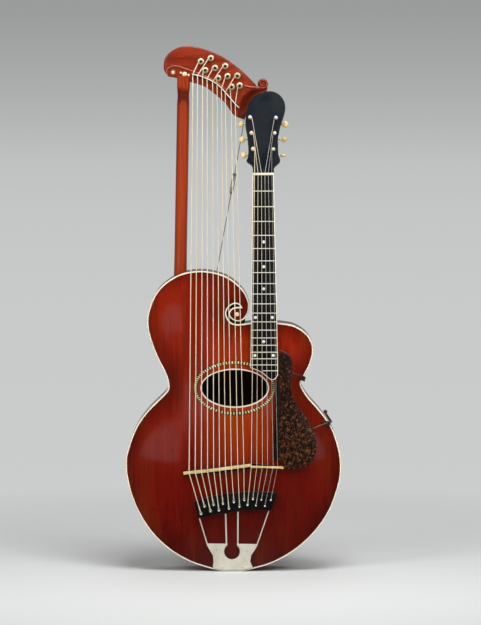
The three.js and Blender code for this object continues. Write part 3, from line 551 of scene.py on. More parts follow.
# The headstock's own axes: x across, y behind its face, z up its face
HEAD = Matrix(((1, 0, 0), (0, math.cos(HEAD_TILT), math.sin(HEAD_TILT)),
               (0, -math.sin(HEAD_TILT), math.cos(HEAD_TILT)))).to_4x4()
HEAD.translation = mm(0, HEAD_FACE, HEAD_FOOT)
# The fingerboard comes forward towards the bridge
LEAN = Matrix((
    (1, 0, 0, 0), (0, 1, BOARD_SLOPE, -BOARD_SLOPE * NUT_LINE * 0.001), (0, 0, 1, 0), (0, 0, 0, 1),
))


def up_head(z, forward=0.0):
    """How far up the headstock's face a height lies, for a thing that stands forward of the face."""
    return (z - HEAD_FOOT - forward * math.sin(HEAD_TILT)) / math.cos(HEAD_TILT)


def at(x, y, z):
    return Matrix.Translation(mm(x, y, z))


class Piece:
    """Shapes gathered into one object, each with its own finish."""

    def __init__(self, name, *finishes):
        self.name = name
        self.finishes = finishes
        self.whole = bmesh.new()

    def add(self, shape, finish=0, place=None):
        if place is not None:
            bmesh.ops.transform(shape, matrix=place, verts=shape.verts[:])
        if finish is not None:
            for face in shape.faces:
                face.material_index = finish
        scratch = bpy.data.meshes.new("scratch")
        shape.to_mesh(scratch)
        shape.free()
        self.whole.from_mesh(scratch)
        bpy.data.meshes.remove(scratch)

    def done(self, body, replaces=()):
        mesh = bpy.data.meshes.new(self.name)
        self.whole.to_mesh(mesh)
        self.whole.free()
        mesh.polygons.foreach_set("use_smooth", [True] * len(mesh.polygons))
        mesh.set_sharp_from_angle(angle=SHARP_ANGLE)
        thing = bpy.data.objects.new(self.name, mesh)
        bpy.context.scene.collection.objects.link(thing)
        for finish in self.finishes:
            mesh.materials.append(finish_named(finish))
        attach(thing, body)
        if replaces:
            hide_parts(*replaces)
        return thing


# Finishes


def colour(red, green, blue):
    """An 8-bit colour as Blender's linear one."""
    steps = [value / 255 for value in (red, green, blue)]
    return tuple(s / 12.92 if s <= 0.04045 else ((s + 0.055) / 1.055) ** 2.4 for s in steps) + (1,)


class Nodes:
    """A node tree whose nodes are added one by one."""

    def __init__(self, tree):
        self.tree = tree

    def join(self, socket, value):
        if isinstance(value, bpy.types.NodeSocket):
            self.tree.links.new(value, socket)
        else:
            socket.default_value = value

    def add(self, kind, settings=None, inputs=None):
        node = self.tree.nodes.new("ShaderNode" + kind)
        for key, value in (settings or {}).items():
            setattr(node, key, value)
        for key, value in (inputs or {}).items():
            self.join(node.inputs[key], value)
        return node

    def ramp(self, value, *stops):
        node = self.add("ValToRGB", inputs={"Fac": value})
        elements = node.color_ramp.elements
        elements.remove(elements[1])
        elements[0].position, elements[0].color = stops[0]
        for position, shade in stops[1:]:
            elements.new(position).color = shade
        return node.outputs[0]

    def mix(self, share, first, second, blend="MIX"):
        node = self.add("Mix", {"data_type": "RGBA", "blend_type": blend}, {0: share, 6: first, 7: second})
        return node.outputs[2]

    def span(self, value, low, high, start, end):
        return self.add("MapRange", inputs={
            "Value": value, "From Min": low, "From Max": high, "To Min": start, "To Max": end,
        }).outputs[0]

    def tinted(self, shade, red, green, blue):
        """A colour multiplied by another one."""
        return self.mix(1.0, shade, (red, green, blue, 1), "MULTIPLY")

    def sum(self, kind, first, second):
        return self.add("Math", {"operation": kind}, {0: first, 1: second}).outputs[0]

    def seen(self, rays):
        """Whether a camera, a gloss or a glass ray looks."""
        kinds = [rays.outputs[kind] for kind in ("Is Camera Ray", "Is Glossy Ray", "Is Transmission Ray")]
        return self.sum("MAXIMUM", self.sum("MAXIMUM", kinds[0], kinds[1]), kinds[2])

    def blend(self, share, first, second, output):
        """Sends a mix of two shaders to an output node's surface."""
        node = self.add("MixShader", inputs={0: share})
        for socket, shader in ((node.inputs[1], first), (node.inputs[2], second)):
            self.tree.links.new(shader.outputs[0], socket)
        self.tree.links.new(node.outputs[0], self.tree.nodes[output].inputs["Surface"])


class Finish(Nodes):
    """A material, with a few of its shader's sockets set."""

    def __init__(self, name, **sockets):
        self.material = bpy.data.materials.new(name)
        self.material.use_nodes = True
        super().__init__(self.material.node_tree)
        self.shader = self.tree.nodes["Principled BSDF"]
        for socket, value in sockets.items():
            self.shader.inputs[socket.replace("_", " ")].default_value = value
        self.place = self.add("TexCoord").outputs["Object"]

    def axis(self, name, vector=None):
        """One axis of a vector, or of the place on the piece when none is given."""
        source = self.place if vector is None else vector
        return self.add("SeparateXYZ", inputs={"Vector": source}).outputs[name]

    def grain(self, stretch, detail=3.0, roughness=0.55):
        """Noise on the piece's own coordinates, stretched along its axes."""
        mapping = self.add("Mapping", inputs={"Vector": self.place, "Scale": stretch})
        noise = self.add("TexNoise", inputs={
            "Vector": mapping.outputs[0], "Scale": 1.0, "Detail": detail, "Roughness": roughness,
        })
        return noise.outputs[0]

    def set(self, socket, value):
        self.join(self.shader.inputs[socket], value)

    def bump(self, height, strength, distance):
        node = self.add("Bump", inputs={"Height": height, "Strength": strength, "Distance": distance})
        self.set("Normal", node.outputs[0])
        return self.material


def colours():
    return bpy.context.scene.harp_guitar_colours


def rgba(value):
    return (value[0], value[1], value[2], 1)


def wood_detail(finish, base, streak, across, strength, broad=(60, 60, 4.5), veins=(170, 170, 5), deep=0.0):
    """Adds grain, veins, blotches, rubbed places and painted shade to a varnished wood's colour."""
    fine = finish.grain(across, 4.0)
    wide = finish.grain(broad)
    cloud = finish.grain((7, 7, 3))
    shade = finish.mix(finish.span(fine, 0.35, 0.7, 0.0, 0.5), base, streak)
    shade = finish.mix(finish.span(wide, 0.4, 0.75, 0.0, 0.5), shade, streak)
    dark = finish.tinted(shade, 0.5, 0.36, 0.33)
    shade = finish.mix(finish.span(finish.grain(veins, 5.0, 0.65), 0.48, 0.68, 0.0, 0.6), shade, dark)
    shade = finish.mix(finish.span(cloud, 0.35, 0.65, 0.0, 0.5), shade, dark)
    rub = finish.grain((90, 90, 30), 5.0, 0.7)
    shade = finish.mix(finish.span(rub, 0.7, 0.82, 0.0, 0.4), shade, streak)
    # deep is the share of painted shade, which darkens the colour
    finish.set("Base Color", finish.mix(deep, shade, finish.tinted(shade, 0.3, 0.2, 0.18)))
    finish.set("Roughness", finish.span(cloud, 0.3, 0.7, 0.24, 0.42))
    return finish.bump(finish.sum("ADD", fine, rub), strength, 0.0002)


def make_sunburst(name):
    """Spruce in a red sunburst: amber round the waist, darker to the edge and to the tail; the brighter upper
    bout is partly painted light from above and the darker tail partly painted shade.
    """
    finish = Finish(name, Coat_Weight=0.5, Coat_Roughness=0.1, IOR=1.5, Specular_IOR_Level=0.06)
    held = colours()
    edge = finish.add("Attribute", {"attribute_name": "from_edge"}).outputs["Fac"]
    height = finish.axis("Z")
    wander = finish.grain((9, 9, 5), 2.0)
    depth = finish.sum("ADD", edge, finish.span(wander, 0.3, 0.7, -0.02, 0.02))
    # Painted light: brighter towards the upper bout, partly the top's real red
    base = finish.mix(finish.span(height, 0.2, 0.5, 0.0, 1.0), rgba(held.top_middle), rgba(held.top_upper_with_painted_light))
    # Painted shade: darker towards the tail, partly the sunburst's own
    base = finish.mix(finish.span(height, 0.0, 0.18, 0.75, 0.0), base, rgba(held.top_edge))
    base = finish.mix(finish.span(depth, 0.0, 0.045, 0.7, 0.0), base, rgba(held.top_edge))
    round_waist = finish.add("Mapping", inputs={
        "Vector": finish.place, "Location": (-0.12, 0, -2.3), "Scale": (8, 0, 6.2),
    })
    away = finish.add("VectorMath", {"operation": "LENGTH"}, {0: round_waist.outputs[0]}).outputs["Value"]
    away = finish.sum("ADD", away, finish.span(wander, 0.3, 0.7, -0.2, 0.2))
    base = finish.mix(finish.span(away, 0.2, 1.15, 1.0, 0.0), base, rgba(held.top_centre))
    flame = finish.span(finish.grain((22, 22, 3.2)), 0.5, 0.72, 0.0, 0.6)
    flame = finish.sum("MULTIPLY", flame, finish.span(depth, 0.0, 0.1, 1.0, 0.15))
    base = finish.mix(flame, base, rgba(held.top_flame))
    return wood_detail(finish, base, finish.tinted(base, 1.5, 2.1, 2.1), (950, 950, 6), 0.1)


def make_rim_wood(name):
    finish = Finish(name, Coat_Weight=0.45, Coat_Roughness=0.14, IOR=1.5, Specular_IOR_Level=0.12)
    held = colours()
    return wood_detail(finish, rgba(held.rim_wood), rgba(held.top_middle), (160, 160, 420), 0.1)


def make_arm_wood(name, base, streak, across=(520, 520, 10), broad=(60, 60, 4.5), collar=0.9):
    """Mahogany of the pillar and the harp head, with painted shade under the capital and on the rounded
    edges.
    """
    finish = Finish(name, Coat_Weight=0.5, Coat_Roughness=0.1, IOR=1.5, Specular_IOR_Level=0.1)
    wander = finish.span(finish.grain((30, 30, 20)), 0.3, 0.7, -0.012, 0.012)
    height = finish.sum("ADD", finish.axis("Z"), wander)
    # Painted shade in a band under the pillar's capital, as strong as collar
    darken_from, darken_to, clear_from, clear_to = CAPITAL_SHADE_HEIGHTS
    capital_shade = finish.span(height, darken_from, darken_to, 0.0, collar)
    cleared = finish.span(height, clear_from, clear_to, collar, 0.0)
    # Painted shade: the rounded edges, turned away from the front, are darkened
    facing = finish.axis("Y", finish.place.node.outputs["Normal"])
    edges = finish.span(finish.sum("ABSOLUTE", facing, 0.0), 0.4, 0.95, 0.8, 0.0)
    # deep gathers the painted shade of the band and of the edges
    deep = finish.sum("MAXIMUM", finish.sum("MINIMUM", capital_shade, cleared), edges)
    veins = [stretch * 0.3 for stretch in across]
    return wood_detail(finish, base, streak, across, 0.14, broad, veins, deep)


def make_inner_wood(name):
    """Bare spruce of the inside, brown with age and darkened further as painted shade inside the body."""
    finish = Finish(name, Specular_IOR_Level=0.1)
    grain = finish.grain((700, 700, 9), 4.0)
    finish.set("Base Color", finish.ramp(grain, (0.3, colour(34, 19, 12)), (0.7, colour(64, 36, 22))))
    finish.set("Roughness", finish.span(grain, 0.3, 0.7, 0.6, 0.85))
    return finish.bump(grain, 0.1, 0.0002)


def make_black(name, base, gloss):
    """Black wood or lacquer, with faint pores and a hazy sheen of handling."""
    finish = Finish(name, Coat_Weight=gloss, Coat_Roughness=0.12, IOR=1.5, Specular_IOR_Level=0.15)
    pores = finish.grain((600, 600, 26), 4.0)
    haze = finish.grain((30, 30, 12))
    shade = finish.mix(finish.span(pores, 0.45, 0.75, 0.0, 0.5), base, (0.014, 0.013, 0.013, 1))
    finish.set("Base Color", shade)
    finish.set("Roughness", finish.span(haze, 0.35, 0.7, 0.24, 0.5))
    return finish.bump(pores, 0.12, 0.0002)


def make_cream(name, base, aged):
    """Old cream plastic or bone, yellowed in patches, with fine scratches."""
    finish = Finish(name, Coat_Weight=0.2, Coat_Roughness=0.2, IOR=1.48)
    patch = finish.grain((45, 45, 45))
    scratch = finish.grain((900, 900, 120), 4.0, 0.7)
    shade = finish.mix(finish.span(patch, 0.3, 0.7, 0.0, 1.0), base, aged)
    finish.set("Base Color", finish.mix(finish.span(scratch, 0.62, 0.8, 0.0, 0.5), shade, aged))
    finish.set("Roughness", finish.span(scratch, 0.3, 0.7, 0.28, 0.45))
    return finish.bump(scratch, 0.1, 0.0001)


def make_metal(name, base, dull, rough, metallic=1.0, patches=120):
    """Plated or drawn metal, worn dull in patches."""
    finish = Finish(name, Metallic=metallic)
    tarnish = finish.grain((patches, patches, patches), 4.0, 0.65)
    brushed = finish.grain((900, 900, 90))
    share = finish.span(tarnish, 0.42, 0.72, 0.0, 0.85)
    finish.set("Base Color", finish.mix(share, base, dull))
    finish.set("Roughness", finish.span(tarnish, 0.3, 0.75, rough, rough + 0.22))
    return finish.bump(brushed, 0.08, 0.0001)


def make_wound(name):
    """Bronze wire wound tightly round a core."""
    finish = Finish(name, Metallic=0.25)
    wave = finish.add("TexWave", {"bands_direction": "Z", "wave_type": "BANDS"}, {
        "Vector": finish.place, "Scale": 620.0, "Distortion": 0.0,
    }).outputs[0]
    age = finish.grain((40, 40, 9))
    held = colours()
    shade = finish.mix(finish.span(age, 0.35, 0.7, 0.0, 1.0), rgba(held.wound_string), rgba(held.wound_dull))
    # Painted shade in the grooves between the windings
    dark = finish.tinted(shade, 0.45, 0.4, 0.36)
    finish.set("Base Color", finish.mix(finish.span(wave, 0.0, 0.5, 0.2, 0.0), shade, dark))
    finish.set("Roughness", finish.span(age, 0.3, 0.7, 0.3, 0.5))
    return finish.bump(wave, 0.5, 0.0002)


def make_shell(name):
    """Mottled tortoise plastic: amber clouds in dark brown."""
    finish = Finish(name, Coat_Weight=0.35, Coat_Roughness=0.12, IOR=1.5, Roughness=0.25)
    held = colours()
    cloud = finish.grain((130, 130, 110), 5.0, 0.7)
    speck = finish.grain((380, 380, 380), 5.0, 0.8)
    height = finish.axis("Z")
    depth = finish.sum("ADD", cloud, finish.span(speck, 0.3, 0.7, -0.22, 0.22))
    depth = finish.sum("SUBTRACT", depth, finish.span(height, 0.3, 0.45, 0.0, 0.06))
    shade = finish.ramp(
        depth, (0.46, rgba(held.shell_dark)), (0.59, rgba(held.shell_brown)), (0.8, rgba(held.shell_amber)),
    )
    finish.set("Base Color", shade)
    return finish.bump(speck, 0.08, 0.0002)


def make_pearl(name, *tones):
    """Mother of pearl, its tones swirled into each other."""
    finish = Finish(name, Coat_Weight=0.5, Coat_Roughness=0.1, IOR=1.6, Roughness=0.25)
    swirl = finish.grain((350, 350, 350))
    shade = finish.ramp(swirl, *[(place, colour(*tone)) for place, tone in zip((0.3, 0.5, 0.7), tones)])
    finish.set("Base Color", shade)
    return finish.bump(swirl, 0.05, 0.0001)


def finish_of(make, *tones, **settings):
    """A maker of a finish whose tones are colours, or names of the user's own colours."""

    def ready(name):
        held = colours()
        shades = [rgba(getattr(held, tone)) if isinstance(tone, str) else tone for tone in tones]
        return make(name, *shades, **settings)

    return ready


def make_tail_nickel(name):
    """The satin nickel of the frets, a little darker."""
    held = colours()
    base = rgba([value * 0.95 for value in held.satin_nickel])
    dull = rgba([value * 0.9 for value in held.satin_dull])
    return make_metal(name, base, dull, **SATIN)


FINISHES = {
    "sunburst": make_sunburst,
    "rim_wood": make_rim_wood,
    "inner_wood": make_inner_wood,
    "arm_wood": finish_of(make_arm_wood, "arm_wood", "arm_streak"),
    "head_wood": finish_of(
        make_arm_wood, "head_wood", "head_streak", across=(16, 420, 420), broad=(7, 60, 60), collar=0.0),
    # Wood of the moulding and the ridge, made lighter as a painted highlight
    "bead_wood": finish_of(make_arm_wood, "bead_wood", "arm_streak"),
    "black_wood": finish_of(make_black, "black_wood", gloss=0.15),
    "black_lacquer": finish_of(make_black, "black_lacquer", gloss=0.4),
    "dark_line": finish_of(make_black, (0.012, 0.01, 0.009, 1), gloss=0.3),
    "cream": finish_of(make_cream, "cream", "cream_aged"),
    "bone": finish_of(make_cream, "bone", "bone_aged"),
    "button": finish_of(make_cream, "button", "button_aged"),
    "white_bone": finish_of(make_cream, "white_bone", "cream_aged"),
    "straw": finish_of(make_cream, "straw", "bone_aged"),
    "nickel": finish_of(make_metal, "nickel", "nickel_dull", rough=0.12),
    "satin_nickel": finish_of(make_metal, "satin_nickel", "satin_dull", **SATIN),
    "tail_nickel": make_tail_nickel,
    "peg_nickel": finish_of(
        make_metal, colour(226, 220, 178), colour(160, 150, 104), rough=0.2, metallic=0.45),
    # A dark copy of nickel for the pegs' posts: painted shade of the dark room they mirror
    "gun_metal": finish_of(make_metal, (0.2, 0.19, 0.14, 1), (0.06, 0.055, 0.045, 1), rough=0.14),
    "brass": finish_of(make_metal, (0.62, 0.44, 0.2, 1), (0.32, 0.22, 0.11, 1), rough=0.25),
    "dark_brass": finish_of(
        make_metal, (0.07, 0.04, 0.022, 1), (0.025, 0.015, 0.01, 1), rough=0.3, metallic=0.5),
    "steel": finish_of(make_metal, (0.9, 0.87, 0.78, 1), (0.7, 0.66, 0.58, 1), rough=0.3, metallic=0.25),
    "wire": finish_of(make_metal, (0.3, 0.29, 0.28, 1), (0.14, 0.12, 0.11, 1), rough=0.35),
    "wound": make_wound,
    "shell": make_shell,
    "pearl": finish_of(make_pearl, (232, 226, 212), (250, 250, 244), (214, 222, 220)),
    "gold_pearl": finish_of(make_pearl, (226, 190, 140), (248, 222, 186), (214, 184, 130)),
}


def finish_named(name):
    """A finish made at its first use, apart from the frame's own materials."""
    return bpy.data.materials.get(name + "_finish") or FINISHES[name](name + "_finish")


# Pieces


def carved_plate(facing, line, holes, cell):
    """A carved plate: a flat sheet cut into a grid, raised to the arch, eased and given its thickness."""
    shape = bmesh.new()
    for path in [line] + holes:
        first = len(shape.verts)
        bmesh.ops.create_circle(shape, cap_ends=False, segments=len(path), radius=1)
        shape.verts.ensure_lookup_table()
        for index, (x, z) in enumerate(path):
            shape.verts[first + index].co = mm(x, 0, z)
    bmesh.ops.triangle_fill(
        shape, use_beauty=True, use_dissolve=False, edges=shape.edges[:], normal=(0, -1, 0))
    grid_cut(shape, np.arange(*CARVED_XS, cell), np.arange(*CARVED_ZS, cell))
    to_cells(shape)
    held = shape.verts.layers.float.new("from_edge")
    verts = shape.verts[:]
    xs = np.array([vert.co.x for vert in verts]) * 1000
    zs = np.array([vert.co.z for vert in verts]) * 1000
    inward = from_edge(xs, zs)
    for vert, distance, height in zip(verts, inward, arch(inward)):
        vert.co.y = facing * (EDGE_DEPTH + height) * 0.001
        vert[held] = distance * 0.001
    inner = [vert for vert, distance in zip(verts, inward) if distance > ARCH_FOOT]
    for _ in range(round(ARCH_EASING / cell**2)):
        bmesh.ops.smooth_vert(
            shape, verts=inner, factor=0.5, use_axis_x=False, use_axis_y=True, use_axis_z=False)
    grown = bmesh.ops.extrude_face_region(shape, geom=shape.faces[:], use_keep_orig=True)["geom"]
    back = [vert for vert in grown if isinstance(vert, bmesh.types.BMVert)]
    bmesh.ops.translate(shape, vec=mm(0, -facing * PLATE, 0), verts=back)
    for face in grown:
        if isinstance(face, bmesh.types.BMFace):
            face.material_index = 1
    bmesh.ops.recalc_face_normals(shape, faces=shape.faces[:])
    return shape


def make_soundboard():
    hole = grown_oval(SOUNDHOLE, SOUNDHOLE_RADII, SOUNDHOLE_RING, SOUNDHOLE_CORNERS)
    edge = offset_line(BODY_LINE, -BINDING)
    piece = Piece("carved_top", "sunburst", "inner_wood")
    piece.add(carved_plate(-1, edge, [hole], sizes().carving_cell * 1000), None)
    return piece.done(ROOT, ["soundboard"])


def make_back():
    piece = Piece("carved_back", "sunburst", "inner_wood")
    piece.add(carved_plate(1, offset_line(BODY_LINE, -0.4), [], sizes().carving_cell * 1000 * 1.4), None)
    return piece.done(ROOT, ["back_plate"])


def top_surface(thing):
    """A function that reads the carved top's depth in mm at a place seen from the front."""
    shape = bmesh.new()
    shape.from_mesh(thing.data)
    tree = BVHTree.FromBMesh(shape)
    shape.free()

    def depth(x, z):
        spot = tree.ray_cast(mm(x, -200, z), Vector((0, 1, 0)))[0]
        return spot.y * 1000 if spot else -EDGE_DEPTH

    return depth


def beside_soundhole(depth, margin):
    """The top's depth beside the soundhole, where the top itself is cut away."""

    def read(x, z):
        away = Vector((x - SOUNDHOLE[0], z - SOUNDHOLE[1]))
        away.length += margin + 2
        return depth(SOUNDHOLE[0] + away.x, SOUNDHOLE[1] + away.y)

    return read


def inlaid(lines, depth, proud, sunk):
    """A thin inlay between two closed lines, lying on the carving."""
    outer, inner = lines
    sections = [(outer, sunk), (outer, -proud), (inner, -proud), (inner, sunk)]
    return loft([[mm(x, depth(x, z) + lift, z) for x, z in line] for line, lift in sections], True)


def make_rim():
    inset = offset_line(BODY_LINE, -RIM)
    back = EDGE_DEPTH - PLATE
    piece = Piece("body_rim", "rim_wood")
    piece.add(band([(BODY_LINE, -back), (BODY_LINE, back + 0.2), (inset, back + 0.2), (inset, -back)]))
    piece.done(ROOT, ["rim"])


def make_scroll_shade():
    """A dark sheet inside the scroll's curl: painted shade in its depth."""
    slot = traced(SLOT_INNER, 1.6) + traced(SLOT_OUTER, 1.6)
    curl = [place for place in slot if place[0] < SCROLL_CURL_RIGHT]
    piece = Piece("scroll_shade_sheet", "dark_line")
    piece.add(plate(offset_line(curl, 0.8), -40, -38.5))
    piece.done(ROOT)


def make_binding(depth):
    line, inner = BODY_LINE, offset_line(BODY_LINE, -BINDING)
    piece = Piece("body_binding", "cream")
    piece.add(band([
        (line, 5 - EDGE_DEPTH), (line, 0.9 - EDGE_DEPTH), (offset_line(line, -0.9), -EDGE_DEPTH - 0.1),
        (inner, -EDGE_DEPTH - 0.1), (inner, 5 - EDGE_DEPTH),
    ]))
    piece.done(ROOT, ["top_binding"])
    piece = Piece("binding_line", "dark_line")
    piece.add(inlaid([inner, offset_line(line, -BINDING - 1.1)], depth, 0.15, 1))
    piece.done(ROOT)


def make_soundhole_edge(depth):
    rims = [
        grown_oval(SOUNDHOLE, SOUNDHOLE_RADII, grow, SOUNDHOLE_CORNERS) for grow in (SOUNDHOLE_RING, 0)
    ]
    piece = Piece("soundhole_edge", "white_bone")
    piece.add(inlaid(rims, beside_soundhole(depth, SOUNDHOLE_RING + 1), 0.5, 5.5))
    piece.done(ROOT, ["soundhole_ring"])


def make_rosette(depth):
    """A ring of pale and dark blocks between two dark lines."""
    lines = [grown_oval(ROSETTE, ROSETTE_RADII, grow, ROSETTE_BLOCKS) for grow in (2.7, -2.7)]
    shape = inlaid(lines, depth, 0.22, 1)
    for face in shape.faces:
        spot = face.calc_center_median()
        angle = math.atan2(
            (spot.z * 1000 - ROSETTE[1]) / ROSETTE_RADII[1], (spot.x * 1000 - ROSETTE[0]) / ROSETTE_RADII[0])
        face.material_index = int(angle / (2 * math.pi) * ROSETTE_BLOCKS + ROSETTE_BLOCKS) % 2
    piece = Piece("rosette", "straw", "dark_line")
    piece.add(shape, None)
    for middle in (3.4, -3.4):
        lines = [grown_oval(ROSETTE, ROSETTE_RADII, middle + half, ROSETTE_BLOCKS) for half in (0.7, -0.7)]
        piece.add(inlaid(lines, depth, 0.2, 1), 1)
    piece.done(ROOT)


def make_scroll_eye(depth):
    x, z = SCROLL_EYE
    piece = Piece("scroll_eye", "gold_pearl")
    piece.add(turned([(0, -0.6), (3.6, -0.5), (4.5, 0), (4.5, 1.5), (0, 1.5)]), 0, at(x, depth(x, z), z))
    piece.done(ROOT)


def board_outline(inset):
    (left, left_foot), (right, right_foot) = BOARD_LEFT, BOARD_RIGHT
    corners = [(left + inset, BOARD_TOP), (right - inset, BOARD_TOP), (right_foot - inset, BODY_JOINT)]
    end = smooth_line(FINGERBOARD_END, 5)
    end = [(x - inset * (x - BOARD_END_MIDDLE) / BOARD_END_HALF, z) for x, z in end]
    return corners + end + [(left_foot + inset, BODY_JOINT)]


def make_fingerboard():
    piece = Piece("fingerboard_wood", "black_wood")
    piece.add(plate(board_outline(1.7), BOARD_FRONT, BOARD_BACK, 0.5), 0, LEAN)
    piece.done(ROOT, ["fingerboard"])


def make_board_binding():
    """Cream strips along the fingerboard's sides and round its end."""
    piece = Piece("fingerboard_binding", "cream")
    for side, foot in ((-1, (37.4, 450.2)), (1, (97.7, 435.5))):
        outer = [(board_edge(z, side), z) for z in (BOARD_TOP, BODY_JOINT)] + [foot]
        line = outer + [(x - side * 1.8, z) for x, z in reversed(outer)]
        piece.add(plate(line, BOARD_FRONT - 0.1, BOARD_BACK + 0.5, 0.4), 0, LEAN)
    end = evenly(smooth_line(FINGERBOARD_END, 6), 1.5)
    piece.add(swept([(x, BOARD_FRONT + 0.3, z) for x, z in end], 0.75, 8), 0, LEAN)
    piece.done(ROOT)


def make_frets():
    piece = Piece("frets", "satin_nickel")
    for fret in range(1, FRETS + 1):
        z = fret_line(fret)
        # The curved end leaves room for the last fret on the treble side only
        left = LAST_FRET_LEFT if fret == FRETS else board_edge(z, -1) + 0.5
        right = board_edge(z, 1) - 0.5
        y = BOARD_FRONT + 0.15
        path = [(left, y + 0.4, z), (left + 0.7, y, z), (right - 0.7, y, z), (right, y + 0.4, z)]
        piece.add(swept(path, [0.5, 0.95, 0.95, 0.5], 10), 0, LEAN)
    piece.done(ROOT)


def make_fret_dots():
    piece = Piece("fret_dots", "pearl")
    for x, fret in FRET_DOTS:
        z = (fret_line(fret) + fret_line(fret - 1)) / 2
        dot = turned([(0, -0.12), (3.2, -0.1), (3.5, 0.1), (3.5, 1), (0, 1)])
        piece.add(dot, 0, LEAN @ at(x, BOARD_FRONT, z))
    piece.done(ROOT)


def make_nut():
    piece = Piece("nut_bone", "white_bone")
    corners = [(42.4, 868.6), (42.4, 873.5), (88.2, 873.5), (88.2, 868.6)]
    piece.add(plate(corners, NUT_FRONT, BOARD_BACK, 0.7, 3), 0, LEAN)
    piece.done(ROOT, ["nut"])


def neck_section(z, depth):
    left = board_edge(z, -1) + 0.4
    right = board_edge(z, 1) - 0.4
    angles = np.linspace(0, math.pi, NECK_CORNERS)
    return [
        mm((left + right) / 2 - (right - left) / 2 * math.cos(angle),
           BOARD_BACK + FIT_GAP + depth * max(0.0, math.sin(angle)) ** 0.8, z)
        for angle in angles
    ]


def make_neck():
    heights = smooth_line(NECK_SECTIONS, 5)
    piece = Piece("neck_shaft", "rim_wood")
    piece.add(loft([neck_section(z, depth) for z, depth in heights]), 0, LEAN)
    extension = [(41, 452), (41, 546.9), (95, 546.9), (95, 452)]
    piece.add(plate(extension, BOARD_BACK + 0.1, -40, 0.6), 0, LEAN)
    piece.done(ROOT, ["neck"])


def make_headstock():
    line = [(x, up_head(z)) for x, z in smooth_line(HEADSTOCK, 6)]
    piece = Piece("headstock_wood", "black_lacquer")
    piece.add(plate(line, VENEER, HEAD_BACK, 1.6, 3), 0, HEAD)
    piece.done(ROOT)
    piece = Piece("headstock_veneer", "black_lacquer")
    piece.add(plate(line, 0, VENEER + 0.2, 0.6, 3), 0, HEAD)
    piece.done(ROOT, ["headstock_face"])


def make_bushings():
    piece = Piece("post_bushings", "nickel")
    for x, z in POSTS:
        ring = turned([(3.1, 0.5), (3.1, -1.0), (3.5, -1.2), (4.1, -0.9), (4.7, 0.1), (4.7, 0.5), (3.1, 0.5)])
        piece.add(ring, 0, HEAD @ at(x, 0, up_head(z, POST_TIP)))
    piece.done(ROOT)


def make_tuner_plates():
    for side in ("bass", "treble"):
        node = f"tuner_strip_{side}"
        piece = Piece(f"tuner_plate_{side}", "nickel")
        piece.add(merged_copy(node, 0.25), 0)
        piece.done(ROOT, [node])


def gear_outline(teeth, outer, inner):
    line = []
    for tooth in range(teeth):
        for share, radius in ((0, inner), (0.2, outer), (0.45, outer), (0.65, inner)):
            angle = 2 * math.pi * (tooth + share) / teeth
            line.append((radius * math.cos(angle), radius * math.sin(angle)))
    return line


def make_post(index):
    """A string post with its gear, the gear's screw, and a dark rod across it as painted shade for the
    string's hole.
    """
    x, z = POSTS[index]
    up = up_head(z, POST_TIP)
    front = HEAD @ at(x, 0, up)
    back = HEAD @ at(x, GEAR_BACK, up)
    piece = Piece(f"post_{index + 1}", "satin_nickel", "brass", "dark_line")
    piece.add(turned([
        (0, -POST_TIP), (2.2, -POST_TIP), (2.8, -8.9), (2.9, -8), (2.9, -7.2), (2.5, -6.4), (2.45, -2.8),
        (2.9, -1.8), (2.9, 17.9), (0, 17.9),
    ]), 0, front)
    piece.add(plate(gear_outline(GEAR_TEETH, *GEAR_RADII), GEAR_FRONT, GEAR_BACK, 0.25), 1, front)
    piece.add(turned([(0, -0.2), (3.1, -0.2), (3.1, 0.5), (2.4, 1.1), (0, 1.3)]), 0, back)
    # Painted shade: a dark bar for the slot of the gear's screw
    piece.add(slot_shade_bar(2.5, 0.35, 1.0, 1.36), 2, back @ Matrix.Rotation(0.7 + index, 4, "Y"))
    # Painted shade: a dark rod where the string's hole goes through the post
    piece.add(swept([(x - 2.6, -4.6, up), (x + 2.6, -4.6, up)], 0.8, 8), 2, HEAD)
    piece.done(f"string_post_{index + 1}", [f"string_post_{index + 1}"])


def make_button(index):
    """A worm on its shaft, with the button at the shaft's end."""
    x, z = POSTS[index]
    reach = abs(BUTTONS[index] - x)
    place = HEAD @ at(x, WORM_DEPTH, up_head(z, POST_TIP) - WORM_DROP)
    if BUTTONS[index] < x:
        place = place @ Matrix.Rotation(math.pi, 4, "Z")
    along = Matrix.Rotation(-math.pi / 2, 4, "Z")
    piece = Piece(f"worm_button_{index + 1}", "nickel", "button")
    piece.add(turned([
        (0, -6), (1.1, -6), (1.4, -5.7), (1.4, -4.5), (1.75, -4.4), (1.75, 4.4), (1.4, 4.5),
        (1.4, reach - 8.6), (2.1, reach - 8.2), (2.1, reach - 6.6), (1.4, reach - 6), (1.2, reach),
        (0, reach),
    ], 16), 0, place @ along)
    thread = [
        (-4.2 + 8.4 * t, 1.85 * math.cos(8 * math.pi * t), 1.85 * math.sin(8 * math.pi * t))
        for t in np.linspace(0, 1, 57)
    ]
    piece.add(swept(thread, 0.55, 6), 0, place)
    button = turned([
        (0, -2.6), (3.5, -2.7), (5.4, -2.3), (6.7, -1.2), (7.2, 0), (6.7, 1.2), (5.4, 2.3), (3.5, 2.7),
        (0, 2.6),
    ], 28)
    end = place @ at(reach, 0, 0)
    tip = Matrix.Rotation(math.radians(BUTTON_TURNS[index]), 4, "X")
    piece.add(button, 1, end @ tip @ Matrix.Diagonal((0.94, 1, 1, 1)))
    collar = turned([(0, -8), (2.2, -8), (2.6, -7), (2.6, -5.4), (3.6, -3.4), (0, -3)], 16)
    piece.add(collar, 1, end @ along)
    piece.done(f"tuner_button_{index + 1}", [f"tuner_button_{index + 1}"])


def harp_front(x):
    return line_height(smooth_line(HARP_FRONT_LINE, 6), x)


def harp_back(x):
    return line_height(smooth_line(HARP_BACK_LINE, 6), x)


